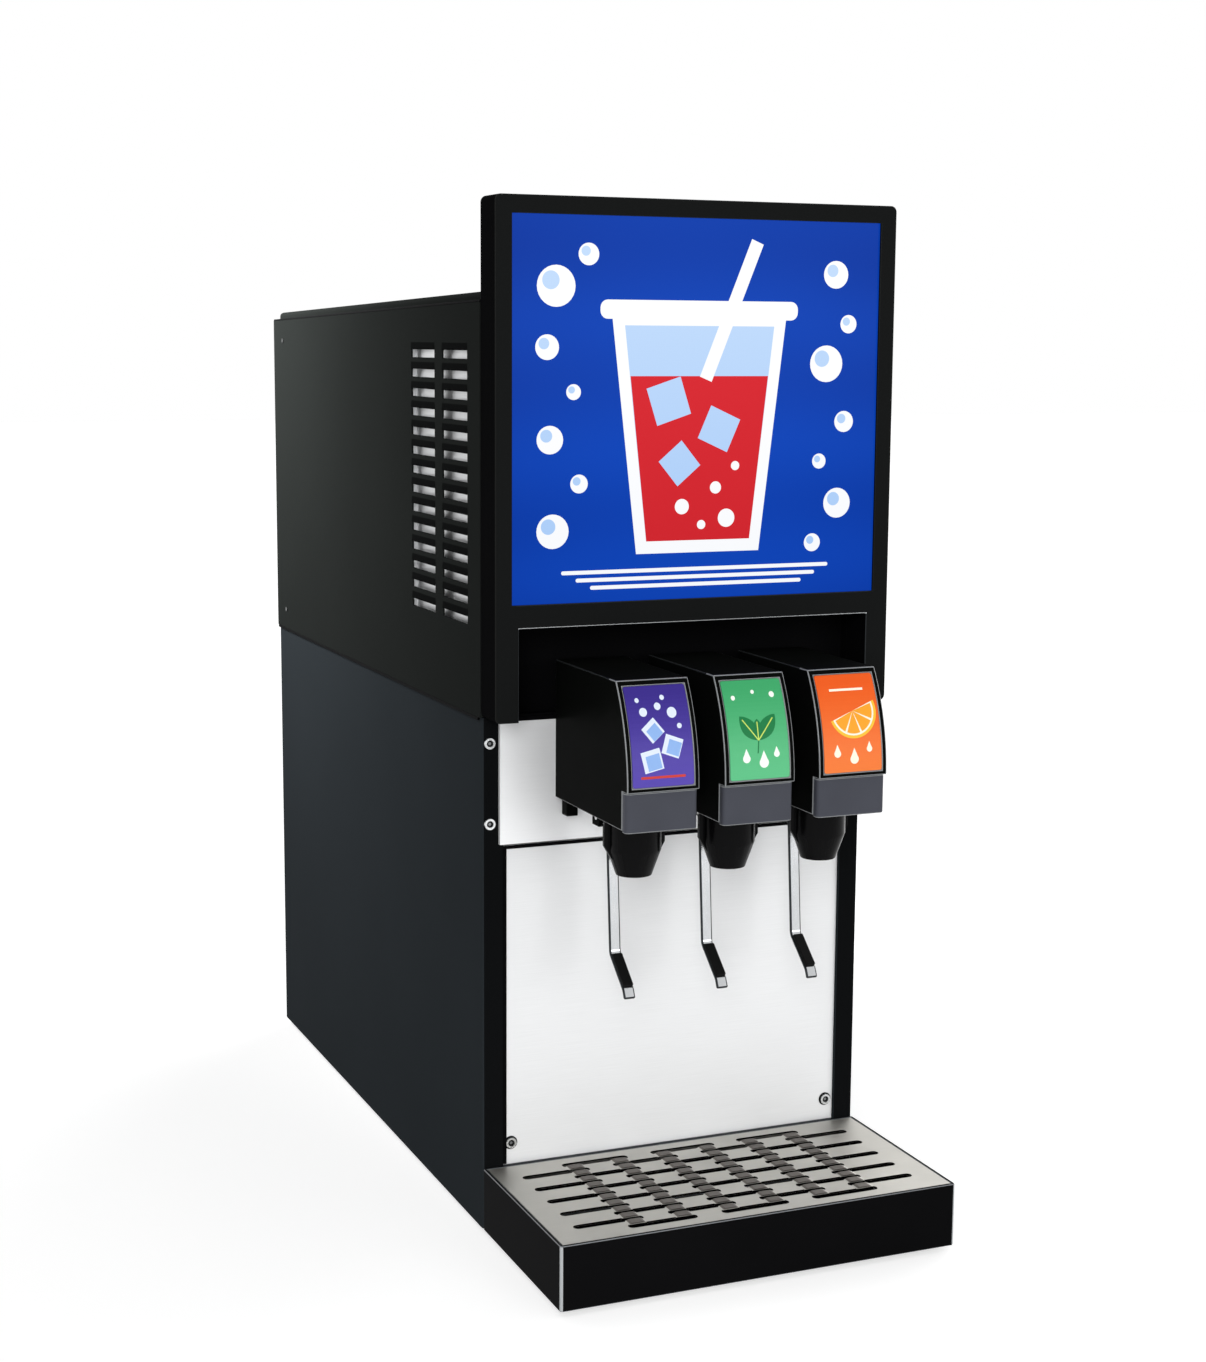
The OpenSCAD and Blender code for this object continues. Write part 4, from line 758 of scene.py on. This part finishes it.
class FOUNTAIN_OT_light_sign(bpy.types.Operator):
    """Lights the acrylic sign face and prints its drink picture"""

    bl_idname = "fountain.light_sign"
    bl_label = "Light the sign"

    def execute(self, context):
        colours = context.scene.fountain_colours
        low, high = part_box("sign_face")
        middle = (low + high) / 2
        # Backlit acrylic: even and saturated, a little brighter over the lamps in its middle.
        reach, lamp_rows = 0.3, 41
        acrylic = glowing(
            "backlit_acrylic_blue", colours.sign, colours.sign_edge, middle, reach, lamp_rows
        )
        finish_node("sign_face", acrylic)
        # Translucent vinyl laid on the acrylic: flat colours that the lamps light from behind.
        vinyls = [
            printed(f"translucent_vinyl_{ink}", linear(foot), linear(head), low.z, high.z, lit=True)
            for ink, foot, head in (
                ("white", "#f2f4f8", "#ffffff"),
                ("red", "#c40d1c", "#dd1424"),
                ("pale_blue", "#9cc2f2", "#c3dcfa"),
            )
        ]
        # The picture is drawn in mm from the middle of the sign.
        x, z = middle.x / MM, middle.z / MM
        tumbler = [(x - 62, z + 62), (x - 44, z - 92), (x + 44, z - 92), (x + 62, z + 62)]
        inside = [(x - 53, z + 54), (x - 37, z - 84), (x + 37, z - 84), (x + 53, z + 54)]
        drink = [(x - 49, z + 22), (x - 37, z - 84), (x + 37, z - 84), (x + 49, z + 22)]
        straw = bar(x + 4, z + 20, x + 40, z + 108, 9)
        rim = rounded_box(x - 70, z + 58, x + 70, z + 70, 5)
        shapes = [(tumbler, 0, 0), (inside, 1, 2), (drink, 2, 1), (straw, 3, 0), (rim, 2, 0)]
        cubes = ((-22, 6, 25, 18), (14, -12, 23, -24), (-14, -34, 21, 40))
        shapes += scattered(turned_square, x, z, cubes, 3, 2)
        fizz = ((-12, -62, 5), (12, -50, 4), (20, -70, 6), (2, -74, 3), (26, -36, 3))
        shapes += scattered(disc, x, z, fizz, 3, 0)
        for a, b, r in (
            (-100, 78, 13), (-78, 98, 7), (-106, 40, 8), (-88, 12, 5), (-104, -18, 9),
            (-84, -46, 6), (-102, -76, 11), (98, 88, 9), (108, 56, 6), (92, 30, 12),
            (106, -8, 7), (88, -34, 5), (102, -62, 10), (84, -88, 6),
        ):
            shine = 0.28 * r
            shapes.append((disc(x + a, z + b, r), 0, 0))
            shapes.append((disc(x + a - shine, z + b + shine, 0.45 * r), 1, 2))
        for i in range(3):
            half, foot = 96 - 10 * i, z - 104 - 5 * i
            shapes.append((rounded_box(x - half, foot, x + half, foot + 2.5, 1.2), 0, 0))
        face = low.y
        layer_step = 0.12 * MM
        piece = sheet_piece(
            "sign_print",
            shapes,
            vinyls,
            lambda px, pz, layer: face - (layer + 1) * layer_step,
            layer_step,
        )
        # White solder mask on the lamp board: chalky and even.
        finish_node(
            "led_panel", grained("solder_mask_white", linear("#e9e7da"), 0.6, rough=(0.5, 0.65))
        )
        return {"FINISHED"}


class FOUNTAIN_OT_dress_valves(bpy.types.Operator):
    """Finishes the valves with their nozzles, levers and pads"""

    bl_idname = "fountain.dress_valves"
    bl_label = "Dress the valves"

    def execute(self, context):
        sizes, colours = context.scene.fountain_sizes, context.scene.fountain_colours
        # ABS moulded in a spark-eroded tool: fine even grain with a satin sheen.
        # The grain is about 0.1 mm and is drawn at 0.5 mm, so that it shows.
        satin = grained(
            "moulded_abs_black", colours.plastic, 0.5, mottle=40, rough=(0.34, 0.46), lift=0.006,
            Specular_IOR_Level=0.004,
        )
        # Painted highlight: a pale line round the rounded front edges of each moulding, darker at
        # its back.
        valve_edge_highlight = grained(
            "moulded_abs_edge_highlight", linear("#85888a"), 0.5, mottle=30, rough=(0.2, 0.3), lift=0.002,
            Specular_IOR_Level=0.3,
        )
        highlight_depth = 22 * MM  # behind the front blocks the edges are painted darker from here
        dull_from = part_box("front_blocks")[1].y + highlight_depth
        tint_where(valve_edge_highlight, (0, -1, 0), -dull_from, linear("#2b2d2e"))
        # The front blocks are the same ABS in slate grey: softly shaded, with no clear highlight.
        grey = grained(
            "moulded_abs_slate", colours.block, 0.5, mottle=40, rough=(0.4, 0.52), lift=0.006,
            Specular_IOR_Level=0.1,
        )
        # Polished nylon: dark and glassy, with soft long highlights.
        gloss = grained(
            "moulded_nylon_gloss", linear("#070708"), 1.6, mottle=20, rough=(0.16, 0.26),
            lift=0.003, Specular_IOR_Level=0.06,
        )
        # Chrome plate on a bent strip: bright mirror with hair-fine wipe marks along it.
        chrome = grained(
            "chrome_plated_strip", linear("#c4c6c8"), 0.5, stretch=(1, 1, 30), mottle=25,
            tone=(0.96, 1.03), rough=(0.1, 0.16), lift=0.0005, Metallic=1.0,
        )
        # Painted dark reflection along the strip's rounded edges: a dark line along each side.
        lever_dark_edge = grained(
            "chrome_strip_painted_dark_edge", linear("#2b2d2f"), 0.5, mottle=20, rough=(0.3, 0.4), lift=0.002,
            Metallic=1.0,
        )
        # Moulded rubber: matt and dusty black, with no clear reflection.
        rubber = grained(
            "moulded_rubber_black", linear("#0b0b0b"), 0.8, mottle=10, rough=(0.62, 0.78),
            lift=0.02, Specular_IOR_Level=0.08,
        )
        nozzle_edge, pad_edge = 0.4 * MM, 0.6 * MM
        for k in VALVES:
            finish_node(f"valve_cover_{k}", satin, sizes.mould_edge, 3, valve_edge_highlight, True)
            finish_node(f"valve_base_{k}", satin)
            finish_node(f"nozzle_{k}", gloss, nozzle_edge)
            finish_node(f"lever_{k}", chrome, sizes.lever_edge, 3, lever_dark_edge, True)
            finish_node(f"lever_pad_{k}", rubber, pad_edge)
        finish_node("front_blocks", grey, sizes.mould_edge, 3, valve_edge_highlight, True)
        finish_node("mount_blocks", satin, sizes.mould_edge)
        finish_node("rubber_feet", rubber, sizes.mould_edge)
        # Inside the valves: milky turned acetal, brown glossy windings and dull red phenolic.
        finish_node(
            "nozzle_diffusers",
            grained("turned_acetal_natural", linear("#e3e2dc"), 0.6, rough=(0.3, 0.45)),
        )
        finish_node(
            "solenoid_coils",
            grained("varnished_winding", linear("#6b4a2c"), 0.5, stretch=(20, 20, 1)),
        )
        finish_node(
            "microswitches", grained("moulded_phenolic", linear("#5a2a24"), 0.7, rough=(0.4, 0.55))
        )
        return {"FINISHED"}


class FOUNTAIN_OT_print_cards(bpy.types.Operator):
    """Makes the curved flavour cards and prints a plain motif on each"""

    bl_idname = "fountain.print_cards"
    bl_label = "Print the cards"

    def execute(self, context):
        sizes = context.scene.fountain_sizes
        radius = sizes.card_radius
        # The covers' curve is centred this far below the cards' lower edges.
        pocket_foot = 3.7 * MM
        thickness, ink, slice_height = 0.7 * MM, 0.02 * MM, 1.5
        # Printed card under clear film: smooth, slightly glossy, with a fade from foot to head.
        # Each card has its slot, its picture, its fade and its three inks.
        cards = (
            ("card_purple", self.ice, "#5b4bb0", "#3a2c86", ("#dfe9fb", "#8fb4ea", "#c9413c")),
            ("card_green", self.mint, "#63c38a", "#3fa468", ("#f4fbf2", "#1f7a45", "#c8e36a")),
            ("card_orange", self.citrus, "#f4813f", "#ea5c1f", ("#fff4df", "#f9c23c", "#f7a531")),
        )
        for k, (slot, picture, foot, head, inks) in zip(VALVES, cards):
            low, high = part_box(f"flavour_card_{k}")
            centre_z = low.z - pocket_foot
            centre_y = low.y + math.sqrt(radius**2 - pocket_foot**2)

            def on_card(x, z, layer, y=centre_y, mid=centre_z):
                r = radius + layer * ink
                return y - math.sqrt(r * r - (z - mid) ** 2)

            stock = printed(f"printed_card_{k}", linear(foot), linear(head), low.z, high.z)
            outline = rounded_box(
                low.x / MM, low.z / MM, high.x / MM, high.z / MM, sizes.card_corner / MM
            )
            card = sheet_piece(
                f"flavour_card_{k}_print_base",
                [(outline, 0, 0)],
                (stock,),
                on_card,
                thickness,
                slice_height,
            )
            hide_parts(f"flavour_card_{k}")
            colours = [
                printed(f"printing_ink_{k}_{i}", linear(c), linear(c), low.z, high.z)
                for i, c in enumerate(inks)
            ]
            x, z = (low.x + high.x) / 2 / MM, (low.z + high.z) / 2 / MM
            motif = sheet_piece(
                f"flavour_card_{k}_motif", picture(x, z), colours, on_card, ink, slice_height
            )
        return {"FINISHED"}

    def ice(self, x, z):
        """Ice cubes and bubbles."""
        shapes = []
        for a, b, side, tilt in ((-7, -14, 13, 12), (7, -6, 12, -20), (-5, 4, 11, 38)):
            shapes.append((turned_square(x + a, z + b, side, tilt), 1, 0))
            shapes.append((turned_square(x + a + 1, z + b - 1, side * 0.72, tilt), 2, 1))
        bubbles = (
            (9, 14, 3.2), (0, 18, 2.2), (-10, 15, 2.6), (13, 6, 1.6), (4, 23, 1.5), (-13, 22, 1.4)
        )
        shapes += scattered(disc, x, z, bubbles, 1, 0)
        shapes.append((rounded_box(x - 15, z - 25, x + 15, z - 23.4, 0.7), 1, 2))
        return shapes

    def mint(self, x, z):
        """Leaves and drops."""
        shapes = []
        for a, b, length, width, tilt in (
            (0, -6, 20, 10, 50), (0, -6, 19, 10, 128), (0, -6, 13, 7, 90)
        ):
            shapes.append((leaf(x + a, z + b, length, width, tilt), 1, 1))
            turn = math.radians(tilt)
            tip = (x + a + 0.86 * length * math.cos(turn), z + b + 0.86 * length * math.sin(turn))
            shapes.append((bar(x + a, z + b, *tip, 0.7), 2, 2))
        shapes.append((bar(x, z - 6, x - 1, z - 14, 0.9), 1, 1))
        shapes += scattered(drop, x, z, ((-9, -17, 2.6), (3, -20, 3.2), (12, -15, 2.0)), 1, 0)
        shapes += scattered(disc, x, z, ((-14, 20, 1.4), (13, 21, 1.8), (0, 23, 1.2)), 1, 0)
        return shapes

    def citrus(self, x, z):
        """Half slice and drops."""
        a, b, tilt = x + 2, z + 8, 200
        shapes = [(half_disc(a, b, 17, tilt), 1, 1), (half_disc(a, b, 15.2, tilt), 2, 0)]
        for i in range(4):
            shapes.append((wedge(a, b, 14, tilt + 45 * i + 3, tilt + 45 * i + 42), 3, 2))
        shapes += scattered(drop, x, z, ((-11, -18, 2.4), (1, -22, 3.0), (12, -16, 2.0)), 1, 0)
        shapes.append((bar(x - 12, z + 21, x + 12, z + 21, 1.4), 1, 0))
        return shapes


class FOUNTAIN_OT_finish_tray(bpy.types.Operator):
    """Finishes the drip tray and its cup grate"""

    bl_idname = "fountain.finish_tray"
    bl_label = "Finish the tray"

    def execute(self, context):
        sizes, colours = context.scene.fountain_sizes, context.scene.fountain_colours
        # Drip tray in satin ABS: near black, with a painted highlight along its rounded front
        # corners.
        tray = grained(
            "moulded_abs_tray", linear("#0d0d0e"), 0.5, mottle=60, rough=(0.3, 0.4), lift=0.005,
            Specular_IOR_Level=0.003,
        )
        # Its rounded rim and corner edges get a paler, glossier copy: a painted highlight.
        tray_edge_highlight = grained(
            "moulded_abs_tray_edge_highlight", linear("#6d7073"), 0.5, mottle=30, rough=(0.2, 0.3),
            lift=0.002, Specular_IOR_Level=0.3,
        )
        # Pressed stainless grate, brushed lengthwise and dulled by cups: greyer than the splash.
        grate = grained(
            "brushed_stainless_grate", colours.grate, 0.5, stretch=(60, 1, 1), mottle=45,
            tone=(0.82, 1.08), rough=(0.4, 0.54), lift=0.003, Metallic=1.0,
        )
        low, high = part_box("drip_tray")
        corner = 1.7 * MM  # reach of the painted highlight round the front corners
        tint_where(tray, (-1, 1, 0), low.y - high.x + corner, linear("#a5a8aa"))
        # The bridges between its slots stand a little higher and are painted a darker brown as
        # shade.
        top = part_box("cup_grate")[1].z
        bridges, walls, bare = top - 0.6 * MM, top - 1.0 * MM, top - 2.05 * MM
        tint_where(grate, (0, 0, -1), -bridges, linear("#5f5a55"))
        # The cut walls of the slots are painted black as shade, so each slot reads as a black line.
        # Below them the sheet is bare.
        tint_where(grate, (0, 0, 1), walls, linear("#0d0c0b"))
        tint_where(grate, (0, 0, 1), bare, colours.grate)
        finish_node("drip_tray", tray, sizes.fold_edge, 3, tray_edge_highlight, True)
        finish_node("cup_grate", grate)
        return {"FINISHED"}


class FOUNTAIN_OT_finish_services(bpy.types.Operator):
    """Finishes the rear fittings and the chilling parts inside"""

    bl_idname = "fountain.finish_services"
    bl_label = "Finish the services"

    def execute(self, context):
        # Drawn stainless tube and spun vessel: plain metal with lines round the axis.
        drawn = grained(
            "drawn_stainless_tube", linear("#c4c7c9"), 0.6, stretch=(1, 25, 1), mottle=20,
            rough=(0.22, 0.34), lift=0.003, Metallic=1.0,
        )
        # Moulded nylon: the gland is dull and dark, the switch key a smooth clear red.
        gland = grained("moulded_nylon_gland", linear("#161617"), 0.6, rough=(0.42, 0.55))
        key = grained(
            "moulded_nylon_red", linear("#a11d19"), 0.6, mottle=15, rough=(0.22, 0.32), lift=0.004,
        )
        # Enamel on cast and pressed iron: smooth black with broad soft highlights.
        enamel = grained(
            "enamelled_iron_black", linear("#1b1d1f"), 1.0, rough=(0.25, 0.38), lift=0.01,
        )
        # Drawn copper: warm metal, clouded by handling.
        copper = grained(
            "drawn_copper_tube", linear("#b9744a"), 1.0, mottle=12, rough=(0.3, 0.45), lift=0.01,
            Metallic=1.0,
        )
        # Stamped aluminium fins: pale metal with upright lines.
        fins = grained(
            "stamped_aluminium_fins", linear("#b4b7b9"), 0.8, stretch=(1, 1, 30), mottle=20,
            rough=(0.35, 0.5), lift=0.02, Metallic=1.0,
        )
        # Foamed polyurethane: cream, matt and pitted.
        foam = grained(
            "foamed_polyurethane", linear("#d9d3bf"), 2.0, mottle=30, rough=(0.7, 0.85), lift=0.1,
        )
        # Moulded polypropylene: dark and waxy.
        blade = grained("moulded_polypropylene_fan", linear("#2c2f33"), 0.8, rough=(0.4, 0.52))
        finishes = {
            "inlet_fittings": (drawn, 0.4),
            "cord_gland": (gland, 0.8),
            "switch_housing": (gland, 0.5),
            "rocker_key": (key, 0.5),
            "carbonator": (drawn, 0),
            "agitator": (drawn, 0),
            "agitator_motor": (enamel, 0),
            "compressor": (enamel, 0),
            "fan_motor": (enamel, 0),
            "water_pump": (enamel, 0),
            "evaporator_coil": (copper, 0),
            "condenser": (fins, 0),
            "water_bath": (foam, 0),
            "fan_blade": (blade, 0),
        }
        for node, (surface, edge) in finishes.items():
            finish_node(node, surface, edge * MM)
        return {"FINISHED"}


class FOUNTAIN_OT_set_stage(bpy.types.Operator):
    """Sets the floor, the soft light and the camera"""

    bl_idname = "fountain.set_stage"
    bl_label = "Set the stage"

    def execute(self, context):
        scene = context.scene
        scene.view_settings.view_transform = "Standard"
        self.floor()
        self.light(scene)
        self.camera(scene)
        return {"FINISHED"}

    def shown(self, tree):
        """1 where the camera, a reflection or a see-through surface looks, else 0."""
        path = add_node(tree, "ShaderNodeLightPath").outputs
        seen = path["Is Camera Ray"]
        for ray in ("Is Glossy Ray", "Is Transmission Ray"):
            either = add_node(tree, "ShaderNodeMath", {0: seen, 1: path[ray]}, operation="MAXIMUM")
            seen = either.outputs["Value"]
        return seen

    def floor(self):
        reach, cells = 14.0, 8  # half its width in metres, and its faces each way
        tone, glow = 0.75, 0.57  # its grey, and what is added where it is looked at
        # Matt studio paper: no shine, and lifted to white where it is looked at.
        paper = bpy.data.materials.new("matt_studio_paper")
        paper.use_nodes = True
        tree = paper.node_tree
        tree.nodes.clear()
        matt = add_node(tree, "ShaderNodeBsdfDiffuse", {"Color": (tone, tone, tone, 1)})
        part = add_node(
            tree, "ShaderNodeMath", {0: self.shown(tree), 1: glow}, operation="MULTIPLY"
        )
        lift = add_node(tree, "ShaderNodeEmission", {"Strength": part.outputs["Value"]})
        both = add_node(
            tree, "ShaderNodeAddShader", {0: matt.outputs["BSDF"], 1: lift.outputs["Emission"]}
        )
        add_node(tree, "ShaderNodeOutputMaterial", {"Surface": both.outputs["Shader"]})
        mesh = bmesh.new()
        bmesh.ops.create_grid(mesh, x_segments=cells, y_segments=cells, size=reach)
        floor = place_mesh("studio_floor", mesh, [paper])

    def hang(self, scene, name, lamp, aim, place=(0, 0, 0)):
        """Hangs a lamp at its place, shining along aim."""
        placed = bpy.data.objects.new(name, lamp)
        placed.location = place
        placed.rotation_euler = Vector(aim).to_track_quat("-Z", "Y").to_euler()
        placed.visible_camera = False
        scene.collection.objects.link(placed)

    def light(self, scene):
        world = bpy.data.worlds.new("studio_room")
        world.use_nodes = True
        scene.world = world
        tree = world.node_tree
        tree.nodes.clear()
        lit, looked_at = 0.48, 1.0  # the room as a light, and as it is seen
        level = add_node(
            tree,
            "ShaderNodeMapRange",
            {"Value": self.shown(tree), "To Min": lit, "To Max": looked_at},
        )
        room = add_node(
            tree, "ShaderNodeBackground",
            {"Color": (1, 1, 1, 1), "Strength": level.outputs["Result"]}
        )
        add_node(tree, "ShaderNodeOutputWorld", {"Surface": room.outputs["Background"]})
        for name, aim, strength, angle in (
            ("key_softbox", (0.45, 0.85, -0.4), 0.95, 20),
            ("side_softbox", (0.55, 0.85, -0.1), 0.55, 24),
            ("front_softbox", (-0.3, 0.9, -0.06), 0.85, 30),
            ("back_softbox", (-0.9, -0.5, -0.3), 1.6, 50),
        ):
            lamp = bpy.data.lights.new(name, "SUN")
            lamp.energy = strength
            lamp.angle = math.radians(angle)
            self.hang(scene, name, lamp, aim)
        # Two near lamps: the hood darkens towards the sign, and the splash is lit down to the tray.
        for name, place, target, power, size, spread in (
            ("rear_left_softbox", (-0.6, 0.52, 0.9), (-0.14, 0.36, 0.66), 4.0, 0.3, 70),
            ("low_front_softbox", (-0.35, -0.75, 0.12), (0.01, -0.1, 0.02), 0.05, 0.25, 24),
        ):
            lamp = bpy.data.lights.new(name, "AREA")
            lamp.energy = power
            lamp.size = size
            lamp.spread = math.radians(spread)
            self.hang(scene, name, lamp, Vector(target) - Vector(place), place)

    def camera(self, scene):
        """Camera fitted to the photograph's edges: its place, view direction and roll."""
        lens = bpy.data.cameras.new("photo_camera")
        lens.lens = scene.fountain_sizes.lens
        lens.sensor_width = 36.0
        lens.sensor_fit = "AUTO"
        lens.clip_start = 0.05
        lens.clip_end = 60.0
        camera = bpy.data.objects.new("photo_camera", lens)
        place = (-0.6219, -1.5469, 0.5961)
        ahead = Vector((0.38248, 0.91148, -0.15140)).normalized()
        right = Vector((0.92247, -0.38601, 0.00649)).normalized()
        up = right.cross(ahead).normalized()
        right = ahead.cross(up)
        turn = Matrix((right, up, -ahead)).transposed()
        camera.matrix_world = Matrix.Translation(place) @ turn.to_4x4()
        scene.collection.objects.link(camera)
        scene.camera = camera


class FOUNTAIN_PT_looks(bpy.types.Panel):
    """Lists the steps and the settings of the looks"""

    bl_label = "Soda fountain"
    bl_idname = "FOUNTAIN_PT_looks"
    bl_space_type = "VIEW_3D"
    bl_region_type = "UI"
    bl_category = "Fountain"

    def draw(self, context):
        for settings in (context.scene.fountain_sizes, context.scene.fountain_colours):
            box = self.layout.box()
            for key in settings.__annotations__:
                box.prop(settings, key)
        for step in STEPS:
            self.layout.operator(step.bl_idname)


STEPS = (
    FOUNTAIN_OT_coat_cabinet,
    FOUNTAIN_OT_brush_front,
    FOUNTAIN_OT_lay_seam_and_socket_shade,
    FOUNTAIN_OT_light_sign,
    FOUNTAIN_OT_dress_valves,
    FOUNTAIN_OT_print_cards,
    FOUNTAIN_OT_finish_tray,
    FOUNTAIN_OT_finish_services,
    FOUNTAIN_OT_set_stage,
)
CLASSES = (FountainSizes, FountainColours, *STEPS, FOUNTAIN_PT_looks)


def register():
    for cls in CLASSES:
        bpy.utils.register_class(cls)
    bpy.types.Scene.fountain_sizes = bpy.props.PointerProperty(type=FountainSizes)
    bpy.types.Scene.fountain_colours = bpy.props.PointerProperty(type=FountainColours)


def unregister():
    del bpy.types.Scene.fountain_colours
    del bpy.types.Scene.fountain_sizes
    for cls in reversed(CLASSES):
        bpy.utils.unregister_class(cls)


def main():
    register()
    bpy.ops.fountain.coat_cabinet()
    bpy.ops.fountain.brush_front()
    bpy.ops.fountain.fit_seals()
    bpy.ops.fountain.light_sign()
    bpy.ops.fountain.dress_valves()
    bpy.ops.fountain.print_cards()
    bpy.ops.fountain.finish_tray()
    bpy.ops.fountain.finish_services()
    bpy.ops.fountain.set_stage()


if __name__ == "__main__":
    main()
